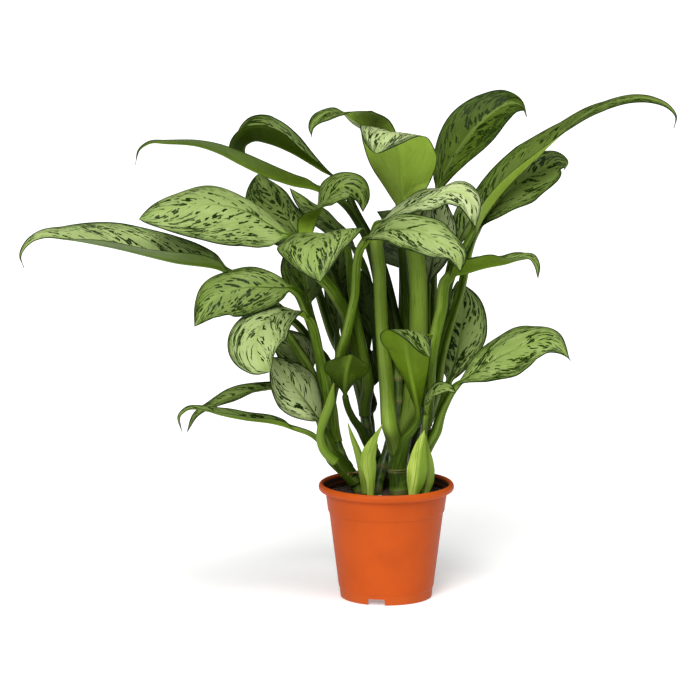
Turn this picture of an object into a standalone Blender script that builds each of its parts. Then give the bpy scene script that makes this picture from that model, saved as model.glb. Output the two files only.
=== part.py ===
"""Potted Chinese evergreen (Aglaonema) in a 12 cm nursery pot.

Row frame: origin on the surface it stands on, under the middle of the whole plant's outline; +Z up; the
side it is sold by faces -Y. The plant leans away from its pot, so the pot's axis is at POT_AXIS. Positions
below are in millimetres from the pot's axis; they move into the row frame, in metres, when a mesh is made.
"""

import math

import bpy
import numpy as np

for old in list(bpy.data.objects):
    bpy.data.objects.remove(old, do_unlink=True)

MM = 0.001
POT_AXIS = (33.0, -35.0)
GAP = 0.35  # clearance where two grown or fitted pieces touch

# Pot, as radius and height pairs up the outside and down the inside.
POT_OUTSIDE = [
    (39.9, 0.0), (40.6, 0.7), (41.1, 8.2), (41.9, 9.4), (50.3, 76.4), (51.4, 77.4), (53.5, 93.6),
    (54.2, 94.8), (58.6, 95.2), (59.5, 97.0), (59.6, 99.6), (58.9, 101.3), (57.6, 102.0),
]
POT_INSIDE = [
    (56.4, 101.6), (55.3, 100.0), (52.3, 93.4), (50.0, 76.8), (41.4, 12.0), (39.6, 10.2),
]
POT_FLOOR_TOP = 10.2
POT_FLOOR_BOTTOM = 8.4
POT_FOOT_INNER = (38.9, 39.1)  # radius of the skirt's inside, at its foot and under the floor
POT_SIDES = 48
NOTCH_WIDTH, NOTCH_HEIGHT = 10.7, 7.5
NOTCH_BEARINGS = (257, 17, 137)
DRAIN_RADIUS, DRAIN_CIRCLE, DRAIN_COUNT = 4.0, 29.0, 6

# Soil.
SOIL_TOP = 92.5
SOIL_EDGE_DROP = 1.5
SOCKET_BOTTOM = 74.0

# Stations along a leaf: fractions of the petiole, then of the blade.
PETIOLE_STATIONS = (0.0, 0.2, 0.42, 0.66, 0.88)
BLADE_STATIONS = (0.0, 0.03, 0.09, 0.18, 0.29, 0.41, 0.54, 0.67, 0.79, 0.9, 0.97)
PETIOLE_RADII = (3.7, 2.7)  # at the foot and under the blade, where a leaf names no others
BLADE_THICKNESS = 0.9
RIB_DEPTH = 1.5
CANE_SIDES = 12
SPLINE_STEPS = 20

# Canes: route from under the soil to the top, radius at the foot and at the top, and number of leaf rings.
CANES = {
    "cane_left": dict(
        route=[(-22, 4, 75), (-22, 4, 92), (-31, 3, 107), (-41, 0, 128), (-47, -2, 150), (-50, -1, 176),
               (-50, 2, 204)], radius=(6.2, 4.4), rings=7),
    "cane_back_left": dict(
        route=[(-3, 24, 75), (-3, 24, 92), (-8, 22, 114), (-16, 18, 142), (-20, 15, 172), (-21, 14, 202),
               (-21, 14, 226)], radius=(5.6, 4.2), rings=8),
    "cane_middle": dict(
        route=[(11, -9, 75), (11, -9, 92), (10, -9, 112), (9, -9, 136), (8, -10, 166), (9, -10, 192),
               (10, -9, 216)], radius=(9.2, 5.0), rings=7),
    "cane_bent": dict(
        route=[(-9, -6, 75), (-9, -6, 92), (-7, -1, 102), (-2, 7, 118), (4, 13, 138), (7, 17, 166),
               (7, 20, 192), (7, 22, 216)], radius=(5.4, 4.2), rings=7),
    "cane_right": dict(
        route=[(30, -1, 75), (30, -1, 92), (31, -1, 112), (33, 0, 136), (36, 1, 162), (39, 3, 186)],
        radius=(5.6, 4.2), rings=6),
    "cane_back_right": dict(
        route=[(23, 28, 75), (23, 28, 92), (24, 28, 114), (27, 27, 144), (30, 27, 174), (32, 28, 206)],
        radius=(5.6, 4.2), rings=7),
}

# Leaves: the cane each one clasps, the height and bearing of its foot, the petiole's route, the midrib's
# route, the flat width, where along the blade it is widest, the bearing it heads on, its roll and the fold
# along the midrib (both at even steps from base to tip), and how much each half curls. Some also have the
# sharpness of their taper to the tip, or the petiole's radius at both its ends.
LEAVES = {
    "leaf_left_long": dict(
        cane="cane_left", foot=(170, 182), petiole=[(-66, 0, 200), (-82, -2, 228), (-105, -5, 260)],
        blade=[(-133, -6, 288), (-187, -15, 301), (-243, -25, 316), (-277, -32, 323), (-298, -36, 325),
        (-309, -38, 320), (-316, -41, 309), (-313, -42, 299)], width=56, widest=0.36, taper=1.5,
        heading=187, roll=(-5, -17, -20), fold=(45, 37, 25), curl=-5),
    "leaf_left_middle": dict(
        cane="cane_left", foot=(184, 238), petiole=[(-60, -9, 222), (-71, -14, 257)],
        blade=[(-82, -28, 278), (-103, -34, 281), (-119, -39, 282), (-134, -43, 280), (-146, -47, 276),
        (-156, -51, 267), (-166, -55, 250)], width=52, widest=0.45, heading=196, roll=(-46, -46, -46),
        fold=(22, 5, 0), curl=-42),
    "leaf_upper_left_broad": dict(
        cane="cane_back_left", foot=(196, 180), petiole=[(-36, 13, 236), (-48, 8, 288), (-64, 0, 311)],
        blade=[(-84.3, -8, 320.8), (-101.7, -13, 333.1), (-119.9, -18, 344.4), (-137.2, -23, 350.4),
        (-155.2, -28, 352.9), (-174.2, -32, 351.7), (-194.8, -36, 347.8), (-213.7, -39, 341.2)],
        width=70, widest=0.45, taper=0.8, heading=190, roll=(-42, -44, -43), fold=(-11, -12, -12),
        curl=-30),
    "leaf_upper_left_long": dict(
        cane="cane_bent", foot=(196, 120), petiole=[(2, 30, 232), (-6, 24, 270), (-22, 20, 325),
        (-38, 22, 347)], blade=[(-54, 25, 357), (-84, 30, 363), (-115, 34, 374), (-130, 37, 381),
        (-146, 39, 389), (-165, 42, 395), (-193, 44, 397), (-208, 45, 397), (-217, 46, 391),
        (-221, 46, 377)], width=42, widest=0.34, taper=1.3, heading=173, roll=(28, 24, 10),
        fold=(22, 14, 15), curl=-8),
    "leaf_top_left": dict(
        cane="cane_bent", foot=(206, 60), petiole=[(8, 38, 240), (-6, 38, 296), (-30.2, 37, 343.8)],
        blade=[(-38.1, 38, 362.5), (-54.0, 40, 372.1), (-70.9, 43, 381.6), (-87.8, 46, 390.2),
        (-104.6, 49, 396.1), (-117.1, 52, 397.6), (-124.3, 54, 392.8), (-125.2, 55, 384.6)], width=50,
        widest=0.8, taper=0.45, heading=166, roll=(-8, -8, -8, -8, -5), fold=(58, 62, 62, 62, 28),
        curl=-6),
    "leaf_top_middle": dict(
        cane="cane_middle", foot=(160, 20), petiole=[(26, -2, 206), (28, -1, 250), (25, -2, 306)],
        blade=[(18, -1, 338), (13, -14, 371), (9, -31, 400), (4, -51, 418), (-2, -66, 418),
        (-7, -77, 412), (-10, -85, 404)], width=68, widest=0.5, taper=0.75, heading=262,
        roll=(0, -14, -20), fold=(45, 15, 2), curl=-15, stem=(6.4, 6.4)),
    "leaf_top_back": dict(
        cane="cane_back_right", foot=(188, 150), petiole=[(20, 34, 230), (14, 32, 300)],
        blade=[(5.1, 29, 378.0), (-2.0, 26, 395.4), (-12.6, 21, 408.6), (-25.8, 15, 420.0),
        (-39.0, 9, 428.7), (-51.2, 4, 429.3), (-60.8, 0, 424.4), (-66.0, -3, 415.9),
        (-65.2, -4, 408.1)], width=46, widest=0.42, taper=1.2, heading=188,
        roll=(35, 35, 35, 32, 8, 0, -5), fold=(25, 25, 25, 22, 2, -6, -4), curl=-8),
    "leaf_upper_left_small": dict(
        cane="cane_back_left", foot=(212, 235), petiole=[(-33, 1, 248), (-46, -12, 274)],
        blade=[(-71.1, -19, 313.6), (-65.0, -20, 328.8), (-58.9, -21, 344.8), (-49.4, -23, 360.1),
        (-38.0, -25, 368.3), (-27.6, -27, 367.7), (-21.5, -28, 359.0), (-20.7, -29, 345.9)], width=42,
        widest=0.42, heading=15, roll=(-50, -42, 5, 20, 30), fold=(45, 35, 12, 8, 5), curl=-15,
        stem=(4.4, 4.4)),
    "leaf_behind_left": dict(
        cane="cane_back_left", foot=(204, 130), petiole=[(-30, 32, 250), (-26, 42, 280)],
        blade=[(-72.7, 50, 305.1), (-81.7, 58, 320.1), (-93.4, 66, 336.2), (-104.2, 73, 351.5),
        (-113.3, 79, 365.2)], width=62, widest=0.55, taper=0.7, heading=150, roll=(-14, -14, -14),
        fold=(12, -8, -12), curl=-18),
    "leaf_front_left_arch": dict(
        cane="cane_back_left", foot=(176, 300), petiole=[(-20, 0, 214), (-30, -5, 268)],
        blade=[(-35, -6, 312), (-47, -42, 328), (-59, -84, 332), (-62, -110, 324), (-57, -126, 300)],
        width=76, widest=0.55, heading=252, roll=(0, 10, 10), fold=(30, 8, 5), curl=-20),
    "leaf_front_arch": dict(
        cane="cane_left", foot=(192, 320), petiole=[(-41, -12, 216), (-35, -20, 240), (-29, -26, 268)],
        blade=[(-20, -32, 320), (-2, -46, 332), (20, -60, 335), (40, -73, 329), (59, -83, 317),
        (62, -90, 303)], width=46, widest=0.5, heading=325, roll=(30, 30, 25), fold=(30, 8, 5),
        curl=-25, stem=(3.6, 3.4)),
    "leaf_upper_right_arch": dict(
        cane="cane_middle", foot=(148, 244), petiole=[(0, -19, 186), (-4, -12, 232), (-7, -7, 290)],
        blade=[(-7, -12, 330), (11, -22, 346), (37, -30, 358), (57, -37, 365), (70, -43, 360),
        (76, -47, 335)], width=42, widest=0.55, heading=340, roll=(30, 20, 20), fold=(30, 8, 5),
        curl=-25, stem=(5.2, 5.2)),
    "leaf_right_upright": dict(
        cane="cane_back_right", foot=(170, 300), petiole=[(37, 14, 212), (35, 12, 250)],
        blade=[(36, 12, 275), (40, 14, 296), (43, 15, 320), (46, 14, 341), (50, 8, 354)], width=38,
        widest=0.55, heading=80, roll=(0, 0, 0), fold=(35, 8, 5), curl=-10),
    "leaf_top_right": dict(
        cane="cane_back_right", foot=(196, 60), petiole=[(40, 46, 240), (42, 46, 310)],
        blade=[(44, 30, 353), (56, 37, 378), (67, 43, 395), (80, 50, 411), (94, 57, 423),
        (109, 63, 430), (120, 68, 427), (125, 71, 416)], width=50, widest=0.5, heading=35,
        roll=(30, 30, 20), fold=(42, 24, 8), curl=-12),
    "leaf_right_long": dict(
        cane="cane_back_right", foot=(182, 10), petiole=[(48, 26, 220), (56, 14, 280)],
        blade=[(74, 9, 320), (87, 11, 341), (105, 12, 364), (128, 11, 387), (153, 9, 411),
        (178, 5, 430), (196, 1, 438), (213, -3, 442), (230, -6, 441), (245, -9, 434), (250, -10, 427),
        (248, -11, 416)], width=46, widest=0.24, taper=1.2, heading=355,
        roll=(18, 20, 22, 10, 13, 24, 30), fold=(44, 40, 36, 14, -2, 0, 0), curl=-5),
    "leaf_right_raised": dict(
        cane="cane_right", foot=(170, 60), petiole=[(48, 14, 210), (65, 14, 270)],
        blade=[(79, 21, 322), (98, 26, 346), (117, 29, 364), (138, 33, 376), (152, 36, 382),
        (158, 37, 379), (156, 38, 373)], width=50, widest=0.55, heading=15, roll=(45, 45, 30),
        fold=(35, 12, 5), curl=-10),
    "leaf_right_curled": dict(
        cane="cane_right", foot=(176, 250), petiole=[(38, -11, 214), (47, -10, 256)],
        blade=[(54, -6, 286), (68, -9, 290), (86, -14, 296), (103, -19, 300), (115, -23, 304),
        (124, -26, 305), (129, -28, 299), (131, -29, 288)], width=36, widest=0.35, heading=348,
        roll=(-5, -8, 15), fold=(50, 27, 10), curl=0, stem=(4.6, 4.4)),
    "leaf_behind_middle": dict(
        cane="cane_back_right", foot=(158, 130), petiole=[(18, 46, 200), (24, 50, 250)],
        blade=[(26, 52, 280), (14, 60, 298), (2, 68, 310), (-10, 76, 312)], width=40, widest=0.45,
        heading=135, roll=(-30, -30, -20), fold=(30, 12, 5), curl=-10),
    "leaf_right_narrow": dict(
        cane="cane_back_right", foot=(140, 30), petiole=[(47, 32, 162)], blade=[(55, 32, 184),
        (61, 36, 203), (66, 42, 227), (68, 48, 252), (63, 53, 273)], width=50, widest=0.5, heading=80,
        roll=(0, 0, 0), fold=(45, 22, 10), curl=-10),
    "leaf_lower_right_broad": dict(
        cane="cane_right", foot=(138, 340), petiole=[(50, -9, 170)], blade=[(60.5, -12, 189.6),
        (70.8, -16, 199.1), (86.3, -21, 210.6), (103.5, -27, 221.4), (119.8, -33, 229.5),
        (133.3, -39, 234.9), (142.6, -44, 234.9), (151.0, -48, 229.5), (158.7, -51, 219.5)], width=58,
        widest=0.48, taper=1.5, heading=335, roll=(40, 44, 44, 40, 34), fold=(20, 10, 4, 0, -4),
        curl=-16),
    "leaf_front_droop": dict(
        cane="cane_middle", foot=(134, 310), petiole=[(22, -20, 152)], blade=[(27.2, -20, 163.7),
        (25.4, -25, 181.4), (21.8, -32, 199.4), (18.2, -41, 218.6), (16.3, -50, 236.8),
        (20.5, -60, 248.2), (28.9, -69, 244.5), (36.5, -76, 227.4)], width=46, widest=0.62, taper=0.7,
        heading=282, roll=(-28, -28, -24, 0, 5), fold=(42, 42, 34, -4, -14), curl=-12),
    "leaf_right_small": dict(
        cane="cane_right", foot=(134, 262), petiole=[(33, -18, 154)], blade=[(34, -23, 166),
        (37, -28, 181), (44, -34, 190), (53, -40, 193), (60, -44, 190)], width=22, widest=0.5,
        heading=320, roll=(45, 40, 20), fold=(40, 15, 5), curl=-10, stem=(2.6, 2.2)),
    "leaf_left_dark": dict(
        cane="cane_back_left", foot=(138, 240), petiole=[(-29, 2, 158)], blade=[(-36, -16, 181),
        (-36, -28, 198), (-34, -42, 213), (-31, -54, 226)], width=40, widest=0.6, heading=270,
        roll=(0, 0, 0), fold=(40, 15, 5), curl=-10, stem=(2.8, 2.4)),
    "leaf_shaded_small": dict(
        cane="cane_back_left", foot=(146, 60), petiole=[(-11, 29, 164)], blade=[(-14, 26, 180),
        (-12, 24, 195), (-9, 24, 208), (-6, 25, 220)], width=20, widest=0.5, heading=80,
        roll=(0, 0, 0), fold=(30, 12, 5), curl=-10, stem=(2.8, 2.4)),
    "leaf_left_folded": dict(
        cane="cane_left", foot=(156, 280), petiole=[(-52, -18, 192), (-60, -20, 226)],
        blade=[(-67, -22, 250), (-82, -36, 260), (-97, -52, 260), (-110, -66, 250), (-113, -76, 236),
        (-108, -82, 224), (-100, -86, 216)], width=60, widest=0.6, taper=0.9, heading=222,
        roll=(0, -4, -14), fold=(35, 10, 5), curl=-25),
    "leaf_left_back": dict(
        cane="cane_left", foot=(192, 100), petiole=[(-66, 30, 221)], blade=[(-83, 30, 241),
        (-104, 33, 247), (-120, 34, 245), (-131, 35, 232)], width=34, widest=0.5, heading=178,
        roll=(-40, -40, -30), fold=(25, 5, 0), curl=-25),
    "leaf_left_shaded": dict(
        cane="cane_left", foot=(158, 130), petiole=[(-59, 11, 180)], blade=[(-65, 10, 199),
        (-79, 11, 216), (-93, 12, 228), (-101, 13, 232)], width=36, widest=0.5, heading=170,
        roll=(-50, -50, -40), fold=(30, 10, 5), curl=-15, stem=(2.8, 2.2)),
    "leaf_left_low": dict(
        cane="cane_left", foot=(124, 250), petiole=[(-52, -14, 146)], blade=[(-58, -18, 159),
        (-77, -26, 188), (-88, -30, 203), (-101, -34, 220)], width=48, widest=0.5, heading=190,
        roll=(-55, -60, -50), fold=(25, 5, 0), curl=-25, stem=(3.0, 2.4)),
    "leaf_lowest_left_back": dict(
        cane="cane_left", foot=(130, 150), petiole=[(-64, 10, 166)], blade=[(-88, 5, 186),
        (-109, 2, 185), (-132, -2, 180), (-151, -6, 173), (-167, -10, 164), (-175, -14, 149)],
        width=24, widest=0.4, heading=186, roll=(-10, -14, -10), fold=(30, 15, 5), curl=-10,
        stem=(2.6, 2.0)),
    "leaf_lowest_left_front": dict(
        cane="cane_left", foot=(116, 205), petiole=[(-56, -10, 138), (-64, -11, 146)],
        blade=[(-80, -14, 153), (-99, -18, 159), (-124, -22, 163), (-145, -26, 168), (-157, -29, 172),
        (-174, -32, 173), (-180, -34, 168), (-178, -36, 153)], width=20, widest=0.35, heading=187,
        roll=(0, -6, 0), fold=(40, 30, 15), curl=-10, stem=(2.6, 2.0)),
    "leaf_rear_left": dict(
        cane="cane_back_left", foot=(182, 120), petiole=[(-44, 42, 218), (-60, 56, 262)],
        blade=[(-70, 76, 288), (-88, 110, 298), (-106, 146, 300), (-118, 178, 297), (-122, 190, 291)],
        width=52, widest=0.45, heading=120, roll=(0, 0, 0), fold=(28, 10, 5), curl=-25),
    "leaf_rear_middle": dict(
        cane="cane_bent", foot=(172, 60), petiole=[(14, 44, 226), (15, 60, 276)], blade=[(14, 76, 306),
        (20, 112, 322), (26, 150, 320), (30, 182, 302), (30, 196, 284)], width=62, widest=0.45,
        heading=82, roll=(0, 0, 0), fold=(28, 10, 5), curl=-25),
    "leaf_rear_right": dict(
        cane="cane_back_right", foot=(172, 85), petiole=[(40, 50, 210), (53, 63, 262)],
        blade=[(62, 76, 298), (80, 98, 328), (100, 118, 347), (118, 136, 352), (132, 150, 350),
        (137, 157, 343)], width=46, widest=0.45, heading=50, roll=(0, 0, 0), fold=(28, 10, 5), curl=-25),
    "leaf_inner_dark": dict(
        cane="cane_left", foot=(198, 150), petiole=[(-61, 12, 230)], blade=[(-68, 20, 256),
        (-71, 24, 276), (-73, 29, 298), (-72, 34, 318)], width=42, widest=0.5, heading=95,
        roll=(0, 0, 0), fold=(30, 10, 0), curl=-15, stem=(2.8, 2.4)),
    "leaf_inner_flecked": dict(
        cane="cane_left", foot=(186, 30), petiole=[(-42, 11, 208)], blade=[(-43, 16, 228),
        (-44, 22, 258), (-41, 27, 290), (-36, 34, 318)], width=24, widest=0.55, heading=85,
        roll=(0, 0, 0), fold=(35, 12, 5), curl=-10, stem=(2.8, 2.4)),
    "leaf_inner_narrow": dict(
        cane="cane_bent", foot=(176, 210), petiole=[(-8, 14, 206)], blade=[(-10, 12, 226),
        (-14, 13, 246), (-18, 15, 266), (-22, 18, 288)], width=24, widest=0.5, heading=95,
        roll=(0, 0, 0), fold=(35, 12, 5), curl=-10, stem=(2.8, 2.2)),
    "leaf_inner_back": dict(
        cane="cane_bent", foot=(168, 125), petiole=[(-10, 40, 202)], blade=[(-22, 48, 222),
        (-26, 52, 240), (-30, 54, 257), (-33, 54, 274)], width=44, widest=0.5, heading=95,
        roll=(0, 0, 0), fold=(20, 5, 0), curl=-10, stem=(2.8, 2.4)),
    "leaf_behind_strip": dict(
        cane="cane_back_left", foot=(216, 60), petiole=[(-13, 42, 252)], blade=[(-26.6, 66, 297.3),
        (-40.8, 74, 312.4), (-57.0, 81, 326.8), (-72.2, 87, 338.7), (-85.8, 93, 350.6)], width=28,
        widest=0.5, heading=150, roll=(-14, -14, -14), fold=(10, -5, -8), curl=-12, stem=(2.8, 2.4)),
}

# Young parts: route from the soil (or from a cane) to the tip, and half width and half depth along it.
SHOOTS = {
    "shoot_left": dict(
        route=[(-44, -20, 124), (-50, -21, 129), (-56, -22, 138), (-58, -23, 149), (-55, -24, 162),
               (-50, -25, 176), (-46, -26, 196)],
        wide=(4.0, 4.2, 3.4, 4.2, 3.6), deep=(3.4, 3.2, 2.6, 2.2, 1.4)),
    "shoot_spear_left": dict(
        route=[(-18, -14, 94.5), (-20, -14, 110), (-25, -13, 131), (-31, -13, 148), (-34, -13, 158)],
        wide=(3.2, 3.8, 3.8, 3.2, 2.0), deep=(2.4, 2.4, 2.2, 1.6, 1.0)),
    "shoot_spear_right": dict(
        route=[(-14, -24, 94.5), (-14, -24, 108), (-16, -24, 129), (-11, -26, 145), (-3, -29, 160)],
        wide=(3.0, 4.2, 7.2, 6.0, 2.4), deep=(2.4, 2.2, 1.8, 1.4, 0.9)),
    "sheath_front": dict(
        route=[(23, -24, 94.5), (25, -24, 104), (27, -24, 120), (29, -24, 137), (33, -25, 154)],
        wide=(4.0, 8.0, 9.2, 7.2, 4.2), deep=(2.0, 2.2, 2.2, 1.8, 1.2)),
    "sheath_side": dict(
        route=[(33, -14, 94.5), (35, -14, 104), (36, -14, 120), (35, -14, 136), (34, -14, 148)],
        wide=(4.0, 6.4, 6.4, 4.6, 2.0), deep=(2.0, 2.0, 2.0, 1.6, 1.0)),
}

PEAT = (0.045, 0.028, 0.018)
TERRACOTTA = (0.60, 0.105, 0.022)
CANE_GREEN = (0.060, 0.120, 0.030)
LEAF_GREEN = (0.24, 0.36, 0.13)
YOUNG_GREEN = (0.34, 0.50, 0.09)


def add_object(name, points, faces, colour, roughness=0.5, smooth=True):
    """Makes one closed piece from points in millimetres about the pot's axis, with a material of its own."""
    mesh = bpy.data.meshes.new(name)
    axis_x, axis_y = POT_AXIS
    placed = [(float(x + axis_x) * MM, float(y + axis_y) * MM, float(z) * MM) for x, y, z in points]
    mesh.from_pydata(placed, [], faces)
    mesh.shade_smooth() if smooth else mesh.shade_flat()
    material = bpy.data.materials.new(name)
    material.use_nodes = True
    shader = material.node_tree.nodes["Principled BSDF"]
    shader.inputs["Base Color"].default_value = (*colour, 1.0)
    shader.inputs["Roughness"].default_value = roughness
    mesh.materials.append(material)
    piece = bpy.data.objects.new(name, mesh)
    bpy.context.scene.collection.objects.link(piece)
    return piece


def add_cutter(name, points, faces):
    cutter = add_object(name, points, faces, (0.5, 0.5, 0.5), smooth=False)
    cutter.hide_render = True
    cutter.display_type = "WIRE"
    return cutter


def cut(piece, cutter):
    hole = piece.modifiers.new(cutter.name, "BOOLEAN")
    hole.operation = "DIFFERENCE"
    hole.solver = "EXACT"
    hole.object = cutter


def revolve(profile, sides):
    """Turns a closed loop of radius and height pairs, listed up the outside first, about Z."""
    points = []
    for step in range(sides):
        angle = 2 * math.pi * step / sides
        points += [(r * math.cos(angle), r * math.sin(angle), z) for r, z in profile]
    count = len(profile)
    faces = []
    for step in range(sides):
        here, there = step * count, (step + 1) % sides * count
        for i in range(count):
            j = (i + 1) % count
            faces.append((here + i, there + i, there + j, here + j))
    return points, faces


def prism(outline, low, high):
    """A straight-sided solid on a counter-clockwise outline of x and y pairs."""
    count = len(outline)
    points = [(x, y, z) for z in (low, high) for x, y in outline]
    faces = [tuple(reversed(range(count))), tuple(range(count, 2 * count))]
    faces += [(i, (i + 1) % count, count + (i + 1) % count, count + i) for i in range(count)]
    return points, faces


def disc(x, y, radius, sides):
    turn = 2 * math.pi / sides
    return [(x + radius * math.cos(turn * i), y + radius * math.sin(turn * i)) for i in range(sides)]


def smooth_route(route):
    """A smooth dense line through the route's points, and the index on it of each of them."""
    route = np.array(route, float)
    steps = np.linalg.norm(np.diff(route, axis=0), axis=1)
    slopes = np.diff(route, axis=0) / steps[:, None]
    tangents = np.empty_like(route)
    tangents[0], tangents[-1] = slopes[0], slopes[-1]
    before, after = steps[:-1, None], steps[1:, None]
    tangents[1:-1] = (slopes[:-1] * after + slopes[1:] * before) / (before + after)
    line = [route[:1]]
    t = (np.arange(1, SPLINE_STEPS + 1) / SPLINE_STEPS)[:, None]
    for i, length in enumerate(steps):
        line.append((2 * t**3 - 3 * t**2 + 1) * route[i] + (t**3 - 2 * t**2 + t) * length * tangents[i]
                    + (3 * t**2 - 2 * t**3) * route[i + 1] + (t**3 - t**2) * length * tangents[i + 1])
    return np.concatenate(line), SPLINE_STEPS * np.arange(len(route))


def unit(v):
    return v / np.linalg.norm(v, axis=-1, keepdims=True)


def carried(line, start, side):
    """Directions along the line, and a sideways vector carried both ways from start without twisting."""
    ahead = unit(np.gradient(line, axis=0))
    sides = np.zeros_like(line)
    sides[start] = unit(side - ahead[start] * (side @ ahead[start]))
    for i in range(start + 1, len(line)):
        sides[i] = unit(sides[i - 1] - ahead[i] * (sides[i - 1] @ ahead[i]))
    for i in range(start - 1, -1, -1):
        sides[i] = unit(sides[i + 1] - ahead[i] * (sides[i + 1] @ ahead[i]))
    return ahead, sides


def along(line):
    return np.concatenate([[0], np.cumsum(np.linalg.norm(np.diff(line, axis=0), axis=1))])


def sampled(distance, distances, *tables):
    return [np.array([np.interp(distance, distances, axis) for axis in table.T]) for table in tables]


def loft(rings, tip=None):
    """Joins closed rings of points; the far end is the tip's single point, or the last ring closed flat."""
    count = len(rings[0])
    points = [p for ring in rings for p in ring]
    faces = [tuple(reversed(range(count)))]
    for i in range(len(rings) - 1):
        a, b = i * count, (i + 1) * count
        for j in range(count):
            k = (j + 1) % count
            faces += [(a + j, a + k, b + k), (a + j, b + k, b + j)]
    last = (len(rings) - 1) * count
    if tip is None:
        faces.append(tuple(range(last, last + count)))
    else:
        points.append(tip)
        faces += [(last + j, last + (j + 1) % count, len(points) - 1) for j in range(count)]
    return points, faces


def make_pot():
    inner_foot, inner_top = POT_FOOT_INNER
    skirt = [(inner_foot, 0.0)]
    profile = POT_OUTSIDE + POT_INSIDE + [(0.01, POT_FLOOR_TOP), (0.01, POT_FLOOR_BOTTOM),
                                          (inner_top, POT_FLOOR_BOTTOM)] + skirt
    points, faces = revolve(profile, POT_SIDES)
    count = len(profile)
    axis_top, axis_bottom = count - 4, count - 3
    # The two points on the axis are shared by every side.
    shared = {}
    for step in range(POT_SIDES):
        shared[step * count + axis_top] = axis_top
        shared[step * count + axis_bottom] = axis_bottom
    points[axis_top], points[axis_bottom] = (0, 0, POT_FLOOR_TOP), (0, 0, POT_FLOOR_BOTTOM)
    kept = [i for i in range(len(points)) if shared.get(i, i) == i]
    order = {old: new for new, old in enumerate(kept)}
    joined = []
    for face in faces:
        corners = list(dict.fromkeys(order[shared.get(i, i)] for i in face))
        if len(corners) > 2:
            joined.append(tuple(corners))
    pot = add_object("pot", [points[i] for i in kept], joined, TERRACOTTA, 0.4)

    half = NOTCH_WIDTH / 2
    corner = 1.2
    arch = [(-half - 1.2, -3.0), (half + 1.2, -3.0), (half + 1.2, -0.3), (half + 0.3, 0.4), (half, 1.6),
            (half, NOTCH_HEIGHT - corner)]
    arch += [(half - corner + corner * math.cos(a), NOTCH_HEIGHT - corner + corner * math.sin(a))
             for a in (math.pi / 6, math.pi / 3, math.pi / 2)]
    arch += [(-half + corner - corner * math.sin(a), NOTCH_HEIGHT - corner + corner * math.cos(a))
             for a in (0.0, math.pi / 6, math.pi / 3)]
    arch += [(-half, NOTCH_HEIGHT - corner), (-half, 1.6), (-half - 0.3, 0.4), (-half - 1.2, -0.3)]
    points, faces = prism(arch, 33.0, 48.0)
    for number, bearing in enumerate(NOTCH_BEARINGS):
        turn = math.radians(bearing)
        out = (math.cos(turn), math.sin(turn))
        placed = [(depth * out[0] - x * out[1], depth * out[1] + x * out[0], up) for x, up, depth in points]
        cut(pot, add_cutter(f"notch_cutter_{number}", placed, faces))
    for number in range(DRAIN_COUNT):
        turn = 2 * math.pi * (number + 0.27) / DRAIN_COUNT
        outline = disc(DRAIN_CIRCLE * math.cos(turn), DRAIN_CIRCLE * math.sin(turn), DRAIN_RADIUS, 12)
        cut(pot, add_cutter(f"drain_cutter_{number}", *prism(outline, 5.0, 14.0)))


def make_soil():
    wall = [(r - GAP, z) for r, z in reversed(POT_INSIDE) if z < SOIL_TOP - 2]
    (r_low, z_low), (r_high, z_high) = POT_INSIDE[3], POT_INSIDE[2]
    edge_z = SOIL_TOP - SOIL_EDGE_DROP
    edge_r = r_low + (r_high - r_low) * (edge_z - z_low) / (z_high - z_low) - GAP
    wall[0] = (wall[0][0], POT_FLOOR_TOP + GAP)
    rings = [[(x, y, z) for x, y in disc(0, 0, r, 48)] for r, z in wall]
    for r, z in ((edge_r, edge_z), (edge_r - 7, SOIL_TOP)):
        rings.append([(x, y, z) for x, y in disc(0, 0, r, 48)])
    soil = add_object("soil", *loft(rings), PEAT, 0.95)
    for name, cane in CANES.items():
        x, y, _ = cane["route"][0]
        outline = disc(x, y, cane["radius"][0] + GAP + 0.6, 16)
        cut(soil, add_cutter(f"socket_cutter_{name}", *prism(outline, SOCKET_BOTTOM, SOIL_TOP + 6)))


def cane_radius(cane, part):
    low, high = cane["radius"]
    return low + (high - low) * part


def make_cane(name, cane):
    line, _ = smooth_route(cane["route"])
    distances = along(line)
    ahead, sides = carried(line, 0, np.array([0.0, -1.0, 0.0]))
    rings = []
    stations = 2 * cane["rings"] + 1
    for i in range(stations):
        part = i / (stations - 1)
        centre, forward, side = sampled(part * distances[-1], distances, line, ahead, sides)
        forward = unit(forward)
        side = unit(side - forward * (side @ forward))
        up = np.cross(forward, side)
        radius = cane_radius(cane, part) * (1.0 if i % 2 else 0.93)
        turns = 2 * np.pi * np.arange(CANE_SIDES) / CANE_SIDES
        rings.append([centre + radius * (side * math.cos(a) + up * math.sin(a)) for a in turns])
    add_object(name, *loft(rings), CANE_GREEN, 0.45)


def foot_on_cane(cane, height, bearing, stem):
    """Where a petiole of the given bearing starts beside the cane, and the next point up along it."""
    line, _ = smooth_route(cane["route"])
    spot = int(np.argmin(abs(line[:, 2] - height)))
    part = along(line)[spot] / along(line)[-1]
    ahead = unit(np.gradient(line, axis=0))[spot]
    out = np.array([math.cos(math.radians(bearing)), math.sin(math.radians(bearing)), 0.0])
    out = unit(out - ahead * (out @ ahead))
    start = line[spot] + out * (cane_radius(cane, part) + stem + GAP)
    return [start, start + ahead * 12 + out * 1.5]


def leaf_line(leaf):
    """The leaf's dense middle line and the place on it where the blade begins."""
    thick = leaf.get("stem", PETIOLE_RADII)[0]
    route = foot_on_cane(CANES[leaf["cane"]], *leaf["foot"], thick) + leaf["petiole"] + leaf["blade"]
    line, places = smooth_route(route)
    return line, places[2 + len(leaf["petiole"])]


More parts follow.
